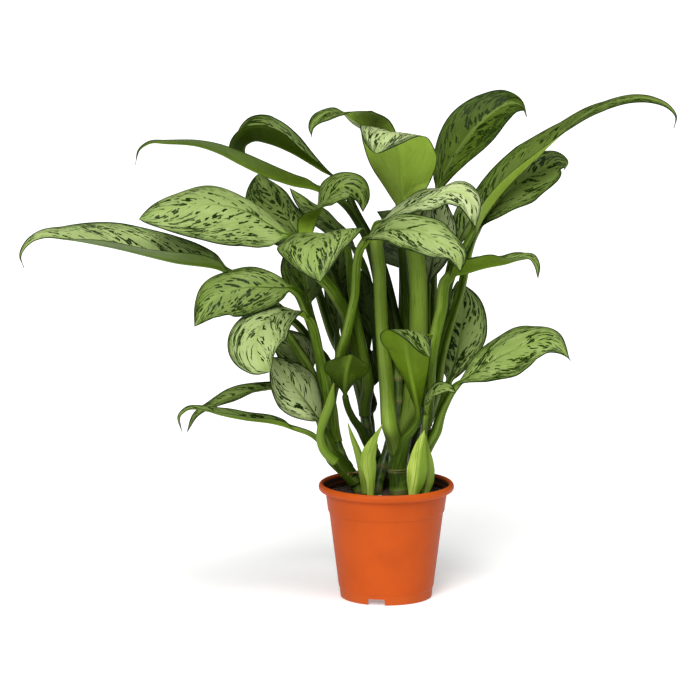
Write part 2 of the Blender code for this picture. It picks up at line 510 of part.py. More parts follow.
def half_section(spread, fold, curl, sideways):
    """Across and up for a point part way out on a half blade of the given spread."""
    if abs(curl) < 1e-3:
        return spread * sideways * math.cos(fold), spread * sideways * math.sin(fold)
    bend = fold + curl * sideways
    radius = spread / curl
    return radius * (math.sin(bend) - math.sin(fold)), radius * (math.cos(fold) - math.cos(bend))


def leaf_ring(leaf, neck, centre, side, up, u):
    """Eight points round the leaf: edge, top, midrib, top, edge, under, rib, under. Off the blade u < 0."""
    if u <= 0:
        grown = 0.0
    else:
        grown = min(1.0, u / 0.09)
        grown = grown * grown * (3 - 2 * grown)
    turns = np.pi / 4 * np.arange(8)
    stem = [centre + neck * (side * math.cos(a) + up * math.sin(a)) for a in turns]
    if not grown:
        return stem
    taper = leaf.get("taper", 1.0)
    rise = taper * leaf["widest"] / (1 - leaf["widest"])
    peak = leaf["widest"] ** rise * (1 - leaf["widest"]) ** taper
    spread = max(leaf["width"] / 2 * u**rise * (1 - u) ** taper / peak, 0.5)
    fold = math.radians(float(np.interp(u, np.linspace(0, 1, len(leaf["fold"])), leaf["fold"])))
    curl = math.radians(leaf["curl"])
    rib = BLADE_THICKNESS + RIB_DEPTH * (1 - u)
    blade = []
    for turn, sideways, sign in ((0, 1, 1), (0, 0.5, 1), (0, 0, 1), (0, 0.5, -1), (0, 1, -1),
                                 (1, 0.5, -1), (1, 0, -1), (1, 0.5, 1)):
        across, rise_up = half_section(spread, fold, curl, sideways)
        point = centre + side * (sign * across) + up * rise_up
        if turn:
            depth = rib if sideways == 0 else BLADE_THICKNESS
            lean = fold + curl * sideways if sideways else 0.0
            point = point + depth * (side * (sign * math.sin(lean)) - up * math.cos(lean))
        blade.append(point)
    return [a + (b - a) * grown for a, b in zip(stem, blade)]


def make_leaf(name, leaf):
    line, start = leaf_line(leaf)
    heading = math.radians(leaf["heading"])
    ahead, sides = carried(line, start, np.array([-math.sin(heading), math.cos(heading), 0.0]))
    distances = along(line)
    neck_at, length = distances[start], distances[-1] - distances[start]
    rings = []
    stations = [(neck_at * part, part - 1) for part in PETIOLE_STATIONS]
    stations += [(neck_at + length * u, u) for u in BLADE_STATIONS]
    for distance, u in stations:
        centre, forward, side = sampled(distance, distances, line, ahead, sides)
        forward = unit(forward)
        side = unit(side - forward * (side @ forward))
        up = np.cross(forward, side)
        roll = math.radians(float(np.interp(u, np.linspace(0, 1, len(leaf["roll"])), leaf["roll"])))
        side, up = side * math.cos(roll) + up * math.sin(roll), up * math.cos(roll) - side * math.sin(roll)
        part = min(1.0, distance / neck_at)
        thick, thin = leaf.get("stem", PETIOLE_RADII)
        rings.append(leaf_ring(leaf, thick + (thin - thick) * part, centre, side, up, u))
    add_object(name, *loft(rings, tip=line[-1]), LEAF_GREEN, 0.4)


def make_shoot(name, shoot):
    line, places = smooth_route(shoot["route"])
    ahead, sides = carried(line, 0, np.array([1.0, 0.0, 0.0]))
    distances = along(line)
    marks = np.linspace(0, 1, len(shoot["wide"]) + 1)
    rings = []
    for part in (0.0, 0.12, 0.24, 0.36, 0.48, 0.6, 0.72, 0.84, 0.95):
        centre, forward, side = sampled(part * distances[-1], distances, line, ahead, sides)
        forward = unit(forward)
        side = unit(side - forward * (side @ forward))
        up = np.cross(forward, side)
        wide = np.interp(part, marks, (*shoot["wide"], 0.3))
        deep = np.interp(part, marks, (*shoot["deep"], 0.3))
        turns = np.pi / 4 * np.arange(8)
        rings.append([centre + side * (wide * math.cos(a)) + up * (deep * math.sin(a)) for a in turns])
    add_object(name, *loft(rings, tip=line[-1]), YOUNG_GREEN, 0.4)


make_pot()
make_soil()
for cane_name, cane_shape in CANES.items():
    make_cane(cane_name, cane_shape)
for leaf_name, leaf_shape in LEAVES.items():
    make_leaf(leaf_name, leaf_shape)
for shoot_name, shoot_shape in SHOOTS.items():
    make_shoot(shoot_name, shoot_shape)
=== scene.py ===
"""Potted Chinese evergreen (Aglaonema): the visible plant in its pot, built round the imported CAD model."""

import math

import bpy
import numpy as np
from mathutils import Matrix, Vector


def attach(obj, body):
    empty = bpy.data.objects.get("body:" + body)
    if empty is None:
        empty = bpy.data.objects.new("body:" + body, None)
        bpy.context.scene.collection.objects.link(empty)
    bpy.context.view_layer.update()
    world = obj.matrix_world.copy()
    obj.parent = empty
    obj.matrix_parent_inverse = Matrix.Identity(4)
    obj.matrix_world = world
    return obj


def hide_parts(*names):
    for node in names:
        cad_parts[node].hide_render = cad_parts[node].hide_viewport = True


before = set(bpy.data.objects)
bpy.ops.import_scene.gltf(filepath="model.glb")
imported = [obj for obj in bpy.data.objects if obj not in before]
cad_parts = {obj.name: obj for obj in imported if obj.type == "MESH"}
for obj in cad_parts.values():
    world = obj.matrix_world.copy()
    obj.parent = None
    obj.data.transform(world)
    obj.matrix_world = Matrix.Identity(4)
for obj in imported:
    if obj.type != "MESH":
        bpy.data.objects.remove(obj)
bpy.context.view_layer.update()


# ---- Pot ----
# A 12 cm grower's pot, injection moulded in terracotta-orange polypropylene with a wall about 1.3 mm thick. It has
# a foot skirt with three drain notches, a raised floor with six drain holes, a tapered wall with a step near the
# top, and a rolled lip.

MM = 0.001
POT_AXIS = np.array([33.0, -35.0, 0.0])  # where the pot stands, in millimetres

# Radius, height and rounding of each corner: up the outside, over the lip and down the inside to the floor.
POT_CORNERS = [
    (0.0, 8.4, 0), (39.1, 8.4, 0.5), (38.9, 0.0, 0.3), (40.3, 0.0, 0.6), (41.1, 8.3, 0.8), (41.9, 9.6, 0.9),
    (50.3, 76.3, 0.3), (51.3, 77.2, 0.5), (53.6, 94.0, 0.9), (54.6, 95.1, 0.8), (58.2, 95.2, 0.8),
    (59.6, 96.9, 1.5), (59.6, 100.0, 1.8), (57.8, 102.0, 1.8), (56.2, 101.7, 1.0), (55.2, 99.8, 1.5),
    (52.3, 93.4, 2.5), (50.0, 76.8, 2.0), (41.4, 12.0, 1.2), (39.8, 10.2, 1.0), (0.0, 10.2, 0),
]
INNER_FLARE = 0.138  # how far the inner wall leans out for each unit of height
DRAIN_TURN, NOTCH_TURN = math.radians(16.2), math.radians(17)


class Value:
    """One output of a node; arithmetic on it adds Math nodes to the same tree."""

    def __init__(self, tree, socket=None):
        self.tree, self.socket = tree, socket

    def node(self, kind, settings=(), sockets=(), out=0):
        """Adds a node of any kind: its settings first, then the values or links of its sockets."""
        made = self.tree.nodes.new(kind)
        for name, value in dict(settings).items():
            setattr(made, name, value)
        for key, value in dict(sockets).items():
            if isinstance(value, Value):
                self.tree.links.new(value.socket, made.inputs[key])
            else:
                made.inputs[key].default_value = value
        return Value(self.tree, made.outputs[out])

    def shape(self, kind, settings=(), **sockets):
        """Adds a node that makes or changes geometry; _ stands for a space in a socket's name."""
        return self.node("GeometryNode" + kind, settings, {key.replace("_", " "): sockets[key] for key in sockets})

    def __getitem__(self, out):
        """Another output of the same node."""
        return Value(self.tree, self.socket.node.outputs[out])

    def maths(self, operation, *values):
        return self.node("ShaderNodeMath", {"operation": operation}, enumerate(values))

    def __add__(self, other):
        return self.maths("ADD", self, other)

    def __sub__(self, other):
        return self.maths("SUBTRACT", self, other)

    def __rsub__(self, other):
        return self.maths("SUBTRACT", other, self)

    def __mul__(self, other):
        return self.maths("MULTIPLY", self, other)

    def __truediv__(self, other):
        return self.maths("DIVIDE", self, other)

    __radd__, __rmul__ = __add__, __mul__

    def size(self):
        return self.maths("ABSOLUTE", self)

    def step(self, low, high):
        """0 at low, 1 at high and smooth between them."""
        return self.node("ShaderNodeMapRange", {"interpolation_type": "SMOOTHSTEP"}, {0: self, 1: low, 2: high})

    def blend(self, this, that):
        """The colour this where the value is 0, and that where it is 1."""
        this, that = ((*c, 1.0) if isinstance(c, tuple) else c for c in (this, that))
        return self.node("ShaderNodeMix", {"data_type": "RGBA"}, {0: self, 6: this, 7: that}, out=2)

    def coated(self, *coats):
        """This colour under coats, each with the mask it lies through and its own colour."""
        colour = self
        for mask, coat in coats:
            colour = mask.blend(colour, coat)
        return colour

    def split(self):
        """The three parts of a vector."""
        x = self.node("ShaderNodeSeparateXYZ", (), {0: self})
        return x, x[1], x[2]

    def joined(self, x, y, z):
        return self.node("ShaderNodeCombineXYZ", (), {0: x, 1: y, 2: z})

    def noise(self, scale, detail=2.0, roughness=0.5):
        """Cloudy noise at this vector, about 0.5."""
        sockets = {"Vector": self, "Scale": scale, "Detail": detail, "Roughness": roughness}
        return self.node("ShaderNodeTexNoise", (), sockets)

    def bump(self, strength, distance):
        """A normal raised by this height."""
        return self.node("ShaderNodeBump", (), {"Strength": strength, "Distance": distance, "Height": self})

    def attribute(self, name):
        return self.node("ShaderNodeAttribute", {"attribute_name": name}, out="Vector")

    def place(self):
        """The point on the object, in metres."""
        return self.node("ShaderNodeTexCoord", out="Object")


def finish(name, paint, **fixed):
    """A material: what varies over the surface comes from paint, and the shader's other numbers are fixed."""
    material = bpy.data.materials.new(name)
    material.use_nodes = True
    tree = material.node_tree
    shader = tree.nodes["Principled BSDF"]
    for socket, value in fixed.items():
        shader.inputs[socket.replace("_", " ")].default_value = value
    for socket, value in paint(Value(tree)).items():
        tree.links.new(value.socket, shader.inputs[socket])
    return material


def node_tree(name, sizes):
    """An empty Geometry Nodes tree with named inputs, and the first output of its Group Input."""
    tree = bpy.data.node_groups.new(name, "GeometryNodeTree")
    tree.interface.new_socket("Geometry", in_out="INPUT", socket_type="NodeSocketGeometry")
    for label, kind in sizes.items():
        tree.interface.new_socket(label, in_out="INPUT", socket_type="NodeSocket" + kind)
    tree.interface.new_socket("Geometry", in_out="OUTPUT", socket_type="NodeSocketGeometry")
    return tree, Value(tree).node("NodeGroupInput")


def end_tree(geometry, material):
    """Closes a tree: its instances made real and its material set."""
    real = geometry.shape("RealizeInstances", Geometry=geometry)
    real = real.shape("SetMaterial", Geometry=real, Material=material)
    real.tree.links.new(real.socket, real.tree.nodes.new("NodeGroupOutput").inputs[0])


def add_piece(name, mesh, material=None, tree=None, sizes=()):
    """Puts a mesh in the scene at the origin, and makes what the tree grows from it its plain mesh."""
    piece = bpy.data.objects.new(name, mesh)
    bpy.context.scene.collection.objects.link(piece)
    if material:
        mesh.materials.append(material)
    if tree:
        growing = piece.modifiers.new(tree.name, "NODES")
        growing.node_group = tree
        for item in tree.interface.items_tree:
            if item.in_out == "INPUT" and item.name in dict(sizes):
                growing[item.identifier] = sizes[item.name]
        grown = piece.evaluated_get(bpy.context.evaluated_depsgraph_get())
        piece.data = bpy.data.meshes.new_from_object(grown)
        piece.modifiers.clear()
        while piece.data.materials[0] is None:
            piece.data.materials.pop(index=0)
    return piece


def settle(piece, slot, *nodes):
    """The piece rides with the plant and stands for its CAD nodes, which are hidden; slot is not used."""
    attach(piece, "root")
    if nodes:
        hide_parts(*nodes)


def mesh_of(name, points, faces=(), edges=(), **notes):
    """A mesh from points in millimetres about the pot's axis, with numbers or vectors noted on its points."""
    mesh = bpy.data.meshes.new(name)
    mesh.from_pydata(((np.asarray(points, float) + POT_AXIS) * MM).tolist(), list(edges), list(faces))
    mesh.shade_smooth()
    for label, values in notes.items():
        values = np.asarray(values, np.float32)
        kind, field = ("FLOAT", "value") if values.ndim == 1 else ("FLOAT_VECTOR", "vector")
        mesh.attributes.new(label, kind, "POINT").data.foreach_set(field, values.ravel())
    return mesh


def chain(count):
    return [(i, i + 1) for i in range(count - 1)]


def rounded(corners, steps=5):
    """The corners as a line of points, with each corner rounded off."""
    line = []
    for i, (r, z, rounding) in enumerate(corners):
        here = np.array([r, z])
        if not rounding:
            line.append(here)
            continue
        before, after = (np.array(corners[j][:2]) - here for j in (i - 1, i + 1))
        a = here + before * min(0.48, rounding / np.linalg.norm(before))
        b = here + after * min(0.48, rounding / np.linalg.norm(after))
        line += [(1 - t) ** 2 * a + 2 * t * (1 - t) * here + t * t * b for t in np.linspace(0, 1, steps)]
    return line


def paint_pot(start):
    place = start.place()
    clouds, rubs = place.noise(30, 3), place.noise(520, 3, 0.65)
    x, y, z = place.split()
    drawn = start.joined(x * 900, y * 900, z * 25).noise(1.0, 3)
    worn = rubs.step(0.6, 0.74) * 0.16 + z.step(0.012, 0.0) * 0.25 + z.step(0.0995, 0.1018) * 0.14

    # The wall inside, above the soil, and the inner curve of the lip are painted dark: partly peat stain and
    # partly painted shade, as little light reaches into the pot.
    flat = start.joined(x - POT_AXIS[0] * MM, y - POT_AXIS[1] * MM, 0)
    away = flat.node("ShaderNodeVectorMath", {"operation": "LENGTH"}, {0: flat}, out="Value")
    wall = (away - z * INNER_FLARE).step(0.0402, 0.0398) * z.step(0.078, 0.082)
    lip = away.step(0.056, 0.0545) * z.step(0.095, 0.0956)
    peat_stain_and_shade = wall.maths("MAXIMUM", wall, lip) * ((z * -1 + 0.1018).step(0.0, 0.0016) * 0.9 + rubs * 0.3)
    colour = clouds.step(0.3, 0.7).blend((0.42, 0.061, 0.004), (0.47, 0.071, 0.005)).coated(
        (worn, (0.42, 0.11, 0.026)), (peat_stain_and_shade, (0.02, 0.009, 0.004)))
    rough = clouds * 0.1 + rubs * 0.14 + drawn * 0.08 + 0.34
    grain = place.noise(3200, 2) * 0.5 + drawn * 0.5
    return {"Base Color": colour, "Roughness": rough, "Normal": grain.bump(0.16, 0.0004)}


pot_plastic = finish("terracotta_plastic", paint_pot, Specular_IOR_Level=0.12)

POT_SIZES = {"Sides": 160, "Turn Radius": 50 * MM, "Drains": 6, "Drain Radius": 4 * MM,
             "Drain Circle": 29 * MM, "Notches": 3, "Notch Width": 10.7 * MM, "Notch Height": 7.5 * MM,
             "Notch Corner": 1.2 * MM, "Foot Radius": 40.5 * MM}
turning, given = node_tree("pot_turning", {name: "Int" if isinstance(value, int) else "Float"
                                            for name, value in POT_SIZES.items()})
outline = given.shape("MeshToCurve", Mesh=given)
circle = given.shape("CurvePrimitiveCircle", Resolution=given["Sides"], Radius=given["Turn Radius"])
wall = given.shape("CurveToMesh", Curve=circle, Profile_Curve=outline)
wall = given.shape("MergeByDistance", Geometry=wall, Distance=0.002 * MM)

# The drills are longer than the floor is thick, and the punches go right through the skirt.
drill = given.shape("MeshCylinder", Vertices=24, Radius=given["Drain Radius"], Depth=20 * MM)
spots = given.shape("MeshCircle", Vertices=given["Drains"], Radius=given["Drain Circle"])
drills = given.shape("InstanceOnPoints", Points=spots, Instance=drill)
drills = given.shape("Transform", Geometry=drills, Translation=(0, 0, 10 * MM), Rotation=(0, 0, DRAIN_TURN))

arch = given.shape("CurvePrimitiveQuadrilateral", Width=given["Notch Height"] * 2, Height=given["Notch Width"])
arch = given.shape("FilletCurve", {"mode": "POLY"}, Curve=arch, Count=4, Radius=given["Notch Corner"])
through = given.shape("CurvePrimitiveLine", Start=(-8 * MM, 0, 0), End=(8 * MM, 0, 0))
punch = given.shape("CurveToMesh", Curve=through, Profile_Curve=arch, Fill_Caps=True)
spots = given.shape("MeshCircle", Vertices=given["Notches"], Radius=given["Foot Radius"])
outward = given.node("FunctionNodeAlignRotationToVector", {"axis": "X"}, {"Vector": given.shape("InputPosition")})
punches = given.shape("InstanceOnPoints", Points=spots, Instance=punch, Rotation=outward)
punches = given.shape("Transform", Geometry=punches, Rotation=(0, 0, NOTCH_TURN))
for cutters in (drills, punches):
    cutters = given.shape("RealizeInstances", Geometry=cutters)
    wall = given.shape("MeshBoolean", {"operation": "DIFFERENCE", "solver": "EXACT"}, Mesh_1=wall, Mesh_2=cutters)
wall = given.shape("Transform", Geometry=wall, Translation=(POT_AXIS * MM).tolist())
end_tree(wall, pot_plastic)

section = rounded(POT_CORNERS)[::-1]
section_mesh = bpy.data.meshes.new("pot_section")
section_mesh.from_pydata([(r * MM - POT_SIZES["Turn Radius"], -z * MM, 0) for r, z in section],
                         chain(len(section)), [])
pot = add_piece("pot_shell", section_mesh, tree=turning, sizes=POT_SIZES)
pot.data.shade_smooth()
pot.data.set_sharp_from_angle(angle=math.radians(38))  # keeps the drains' and notches' edges crisp
settle(pot, "pot_plastic", "pot")


# ---- Soil ----
# Dark peat potting mix, pressed in by hand round the canes and sunk about 9 mm below the lip. Its crumbs, fibres
# and few white grains are strewn over a lumpy surface; a bleached twig and a pale root lie on top.

SOIL_TOP, SOIL_EDGE = 92.5, 51.0
SOIL_SIDE = ((48.6, 78.0), (40.8, 12.0), (39.0, 10.6))  # radius and height, down the pot's wall to its floor


def lumps(x, y):
    """Height of the soil's surface over its middle level, in millimetres."""
    waves = [(0.11, 0.07, 0.9, 1.1), (-0.06, 0.17, 2.1, 0.9), (0.31, -0.12, 0.4, 0.45), (0.19, 0.33, 4.0, 0.35),
             (-0.42, 0.23, 1.3, 0.25), (0.5, 0.55, 5.2, 0.2)]
    return sum(high * np.sin(a * x + b * y + phase) for a, b, phase, high in waves)


def soil_level(x, y):
    far = np.clip(np.hypot(x, y) / SOIL_EDGE, 0, 1)
    return SOIL_TOP - 1.2 * far**4 + lumps(x, y) * (1 - 0.6 * far**6)


rings, spokes = 34, 120
points, bare = [(0.0, 0.0, soil_level(0.0, 0.0))], [1.0]
for r, z in [(SOIL_EDGE * ring / rings, None) for ring in range(1, rings + 1)] + list(SOIL_SIDE):
    for turn in (2 * math.pi * spoke / spokes for spoke in range(spokes)):
        x, y = r * math.cos(turn), r * math.sin(turn)
        points.append((x, y, soil_level(x, y) if z is None else z))
        bare.append(1.0 if z is None and r < SOIL_EDGE else 0.0)
faces = [(0, 1 + s, 1 + (s + 1) % spokes) for s in range(spokes)]
for a in range(1, len(points) - spokes, spokes):
    b = a + spokes
    faces += [(a + s, b + s, b + (s + 1) % spokes, a + (s + 1) % spokes) for s in range(spokes)]
faces.append(tuple(len(points) - spokes + s for s in reversed(range(spokes))))
bed = mesh_of("soil_bed", points, faces, bare=bare)


def paint_peat(start):
    place = start.place()
    coarse, fine, dry = place.noise(160, 4, 0.7), place.noise(900, 4, 0.7), place.noise(45, 2)
    colour = coarse.step(0.35, 0.68).blend((0.008, 0.005, 0.003), (0.045, 0.025, 0.013)).coated(
        (fine.step(0.58, 0.75) * 0.7, (0.09, 0.055, 0.03)), (dry.step(0.48, 0.72) * 0.4, (0.06, 0.038, 0.022)))
    return {"Base Color": colour, "Roughness": fine * 0.2 + 0.78, "Normal": (coarse + fine * 0.6).bump(0.7, 0.0012)}


peat = finish("potting_peat", paint_peat)


def strewing(name, grain, material):
    """A tree that strews grains over the bare part of the soil, lying about flat."""
    tree, given = node_tree(name, {"Amount": "Float", "Smallest": "Vector", "Largest": "Vector", "Tilt": "Float",
                                   "Seed": "Int", "Keep Bed": "Bool"})
    chosen = given.shape("InputNamedAttribute", {"data_type": "FLOAT"}, Name="bare")
    spread = given.shape("DistributePointsOnFaces", {"distribute_method": "RANDOM"}, Mesh=given,
                         Density=chosen * given["Amount"], Seed=given["Seed"])
    size = given.node("FunctionNodeRandomValue", {"data_type": "FLOAT_VECTOR"},
                      {0: given["Smallest"], 1: given["Largest"], 8: given["Seed"]})
    tilt = given["Tilt"]
    turn = given.node("FunctionNodeRandomValue", {"data_type": "FLOAT_VECTOR"}, {
        0: given.joined(tilt * -1, tilt * -1, 0), 1: given.joined(tilt, tilt, 2 * math.pi), 8: given["Seed"] + 3})
    strewn = given.shape("InstanceOnPoints", Points=spread, Instance=grain(given), Rotation=turn, Scale=size)
    strewn = given.shape("RealizeInstances", Geometry=strewn)
    kept = given.node("GeometryNodeSwitch", {"input_type": "GEOMETRY"}, {"Switch": given["Keep Bed"], "True": given})
    both = given.shape("JoinGeometry")
    for part in (kept, strewn):
        both.tree.links.new(part.socket, both.socket.node.inputs[0])
    end_tree(both, material)
    return tree


def crumb(start):
    return start.shape("MeshIcoSphere", Radius=1.0, Subdivisions=1)


def fibre(start):
    """A bent three-sided strand, one unit long."""
    bend = start.shape("CurveQuadraticBezier", Resolution=5, Start=(-0.5, -0.1, -0.02), Middle=(0.1, 0.22, 0.16),
                       End=(0.5, -0.06, 0.0))
    round_strand = start.shape("CurvePrimitiveCircle", Resolution=3, Radius=0.028)
    return start.shape("CurveToMesh", Curve=bend, Profile_Curve=round_strand, Fill_Caps=True)


def mottled(name, scale, detail, contrast, dark, light, rough, bump=()):
    """A matt finish, mottled between a dark and a light colour."""
    def paint(start):
        tint = start.place().noise(scale, detail)
        painted = {"Base Color": tint.step(*contrast).blend(dark, light), "Roughness": tint * 0.2 + rough}
        return {**painted, "Normal": tint.bump(*bump)} if bump else painted

    return finish(name, paint)


peat_fibre = mottled("peat_fibre", 240, 2, (0.3, 0.7), (0.03, 0.016, 0.007), (0.15, 0.09, 0.042), 0.7)
perlite = mottled("perlite", 1500, 3, (0.35, 0.65), (0.52, 0.49, 0.43), (0.8, 0.78, 0.73), 0.7)

# What is strewn on the bed: the grain, its finish, how many lie on a square metre, the smallest and the largest
# size, how far they tilt, and the seed.
STREWN = {
    "soil_crumbs": (crumb, peat, 420000.0, (0.35, 0.3, 0.25), (1.5, 1.2, 0.9), 0.7, 5),
    "soil_fibres": (fibre, peat_fibre, 26000.0, (3, 3, 3), (9, 9, 6), 0.35, 21),
    "soil_grains": (crumb, perlite, 2200.0, (0.4, 0.4, 0.3), (1.1, 1.0, 0.9), 1.5, 34),
}
for name, (grain, material, amount, smallest, largest, tilt, seed) in STREWN.items():
    carries_bed = name == "soil_crumbs"  # the crumbs' piece is also the bed, and stands for the CAD's soil
    layer = add_piece(name, bed.copy(), tree=strewing(name.removeprefix("soil_"), grain, material), sizes={
        "Amount": amount, "Smallest": [size * MM for size in smallest], "Largest": [size * MM for size in largest],
        "Tilt": tilt, "Seed": seed, "Keep Bed": carries_bed})
    settle(layer, "peat", *["soil"] * carries_bed)

# A tree that gives a line of points a round wall, as thick as its own "girth" says at each point.
sweep, given = node_tree("sweep_along_line", {"Sides": "Int", "Finish": "Material"})
line = given.shape("MeshToCurve", Mesh=given)
hoop = given.shape("CurvePrimitiveCircle", Resolution=given["Sides"], Radius=1.0)
girth = given.shape("InputNamedAttribute", {"data_type": "FLOAT"}, Name="girth")
end_tree(given.shape("CurveToMesh", Curve=line, Profile_Curve=hoop, Scale=girth, Fill_Caps=True), given["Finish"])


def swept(name, points, girths, sides, material, **details):
    """A stem through the points, in millimetres, with a radius at each and any further numbers along it."""
    mesh = mesh_of(name + "_line", points, edges=chain(len(points)), girth=np.asarray(girths) * MM, **details)
    piece = add_piece(name, mesh, tree=sweep, sizes={"Sides": sides, "Finish": material})
    piece.data.shade_smooth()
    piece.data.set_sharp_from_angle(angle=math.radians(60))  # only the rim of a cut end
    return piece


def smooth_route(route, steps=20):
    """A smooth dense line through the route's points, and the index on it of each of them."""
    route = np.array(route, float)
    spans = np.linalg.norm(np.diff(route, axis=0), axis=1)
    slopes = np.diff(route, axis=0) / spans[:, None]
    tangents = np.concatenate([slopes[:1], (slopes[:-1] * spans[1:, None] + slopes[1:] * spans[:-1, None])
                               / (spans[:-1] + spans[1:])[:, None], slopes[-1:]])
    line = [route[:1]]
    t = (np.arange(1, steps + 1) / steps)[:, None]
    for i, span in enumerate(spans):
        line.append((2 * t**3 - 3 * t**2 + 1) * route[i] + (t**3 - 2 * t**2 + t) * span * tangents[i]
                    + (3 * t**2 - 2 * t**3) * route[i + 1] + (t**3 - t**2) * span * tangents[i + 1])
    return np.concatenate(line), steps * np.arange(len(route))


bleached = mottled("bleached_root", 500, 3, (0.35, 0.65), (0.42, 0.33, 0.22), (0.72, 0.64, 0.5), 0.55,
                   bump=(0.4, 0.0004))
# Loose on the peat: the route of each and its radius along it.
LOOSE = {
    "soil_twig": ([(18, -41, 93.0), (22, -40, 94.5), (28, -41, 95.7), (33, -43, 96.4)], (0.7, 1.0, 1.1, 0.8)),
    "soil_root": ([(46, -8, 90.0), (48, -14, 95.5), (46, -21, 97.8), (42, -25, 95.3), (41, -27, 90.0)],
                  (0.6, 0.75, 0.8, 0.7, 0.5)),
}
for name, (route, radii) in LOOSE.items():
    line, places = smooth_route(route, 8)
    settle(swept(name, line, np.interp(np.arange(len(line)), places, radii), 9, bleached), "peat")


# ---- Canes ----
# Six rooted cuttings of Aglaonema stem, 9 to 18 mm thick, pushed into the peat. Each is a smooth green cane with a
# swollen ring where every shed leaf clasped it; the left one keeps a torn brown scar.

# Route from under the soil to the top, radius at the foot and at the top, and number of leaf rings.
CANES = {
    "cane_left": dict(route=[(-22, 4, 75), (-22, 4, 92), (-31, 3, 107), (-41, 0, 128), (-47, -2, 150), (-50, -1, 176),
        (-50, 2, 204)], radius=(6.2, 4.4), rings=7),
    "cane_back_left": dict(route=[(-3, 24, 75), (-3, 24, 92), (-8, 22, 114), (-16, 18, 142), (-20, 15, 172),
        (-21, 14, 202), (-21, 14, 226)], radius=(5.6, 4.2), rings=8),
    "cane_middle": dict(route=[(11, -9, 75), (11, -9, 92), (10, -9, 112), (9, -9, 136), (8, -10, 166), (9, -10, 192),
        (10, -9, 216)], radius=(9.2, 5.0), rings=7),
    "cane_bent": dict(route=[(-9, -6, 75), (-9, -6, 92), (-7, -1, 102), (-2, 7, 118), (4, 13, 138), (7, 17, 166),
        (7, 20, 192), (7, 22, 216)], radius=(5.4, 4.2), rings=7),
    "cane_right": dict(route=[(30, -1, 75), (30, -1, 92), (31, -1, 112), (33, 0, 136), (36, 1, 162), (39, 3, 186)],
        radius=(5.6, 4.2), rings=6),
    "cane_back_right": dict(route=[(23, 28, 75), (23, 28, 92), (24, 28, 114), (27, 27, 144), (30, 27, 174),
        (32, 28, 206)], radius=(5.6, 4.2), rings=7),
}


def distance_along(line):
    return np.concatenate([[0], np.cumsum(np.linalg.norm(np.diff(line, axis=0), axis=1))])


def at_distance(at, distances, table):
    """The table's points or directions at some distances along its line."""
    return np.stack([np.interp(at, distances, table[:, axis]) for axis in range(3)], axis=-1)


def cane_shape(cane):
    """The cane's dense middle line, the distance along it and its radius there, without rings."""
    line, _ = smooth_route(cane["route"])
    distance = distance_along(line)
    low, high = cane["radius"]
    return line, distance, low + (high - low) * distance / distance[-1]


def paint_cane(start):
    place = start.place()
    ring, high = (start.attribute(name).split()[0] for name in ("ring", "high"))
    x, y, z = place.split()
    streak = start.joined(x * 700, y * 700, z * 60).noise(1.0, 3, 0.6)
    cloud, speck = place.noise(90, 3), place.noise(1100, 2, 0.6)
    scar = ring.step(0.16, 0.05) + ring.step(0.9, 0.985)
    # Canes towards the back are darkened by painted shade inside the bush.
    earthy, painted_shade_behind = high.step(0.12, 0.0) * 0.8, y.step(-0.037, -0.016) * 0.75
    colour = streak.step(0.3, 0.72).blend((0.01, 0.024, 0.001), (0.05, 0.098, 0.004)).coated(
        (cloud.step(0.52, 0.8) * 0.4, (0.15, 0.23, 0.028)), (ring.step(0.4, 0.1) * 0.35, (0.16, 0.24, 0.03)),
        (scar * (speck * 0.9 + 0.15), (0.13, 0.09, 0.035)), (earthy, (0.06, 0.045, 0.014)),
        (painted_shade_behind, (0.005, 0.012, 0.001)))
    rough = speck * 0.16 + scar * 0.25 + 0.28
    height = streak * 0.6 + speck * 0.3 - scar * 0.9
    return {"Base Color": colour, "Roughness": rough, "Normal": height.bump(0.35, 0.0005)}


cane_skin = finish("cane_skin", paint_cane, Specular_IOR_Level=0.3)
CANE_STEP, CANE_SIDES = 0.7, 28  # fine enough for the grooves beside each ring

for name, cane in CANES.items():
    line, distance, radius = cane_shape(cane)
    stations = np.arange(0, distance[-1], CANE_STEP)
    rng = np.random.default_rng(len(name) + cane["rings"])
    nodes = np.linspace(0, distance[-1], cane["rings"] + 1) + rng.uniform(-1.5, 1.5, cane["rings"] + 1)
    nodes[0], nodes[-1] = -4.0, distance[-1] + 4
    after = np.searchsorted(nodes, stations, side="right")
    ring = (stations - nodes[after - 1]) / (nodes[after] - nodes[after - 1])
    swell = 0.055 * np.exp(-((ring - 0.05) / 0.1) ** 2) + 0.055 * np.exp(-((ring - 0.97) / 0.06) ** 2)
    groove = 0.05 * np.exp(-(np.minimum(ring, 1 - ring) / 0.022) ** 2)
    girth = np.interp(stations, distance, radius) * (0.95 + swell - groove)
    if name == "cane_middle":  # swollen where its oldest ring sits
        level = np.interp(stations, distance, line[:, 2])
        girth *= 1 + 0.1 * np.exp(-((level - 115) / 7) ** 2)
    tip = np.clip((distance[-1] - stations) / 5, 0, 1)
    girth *= np.sqrt(1 - (1 - tip) ** 2) * 0.97 + 0.03
    points = at_distance(stations, distance, line)
    piece = swept(name + "_stem", points, girth, CANE_SIDES, cane_skin, ring=ring, high=stations / distance[-1])
    settle(piece, "cane", name)


def paint_scar(start):
    x, y, z = start.place().split()
    husk = start.joined(x * 1500, y * 1500, z * 250).noise(1.0, 3, 0.65)
    colour = husk.step(0.3, 0.7).blend((0.07, 0.035, 0.012), (0.33, 0.2, 0.09))
    return {"Base Color": colour, "Roughness": husk * 0.2 + 0.65, "Normal": husk.bump(0.5, 0.0006)}


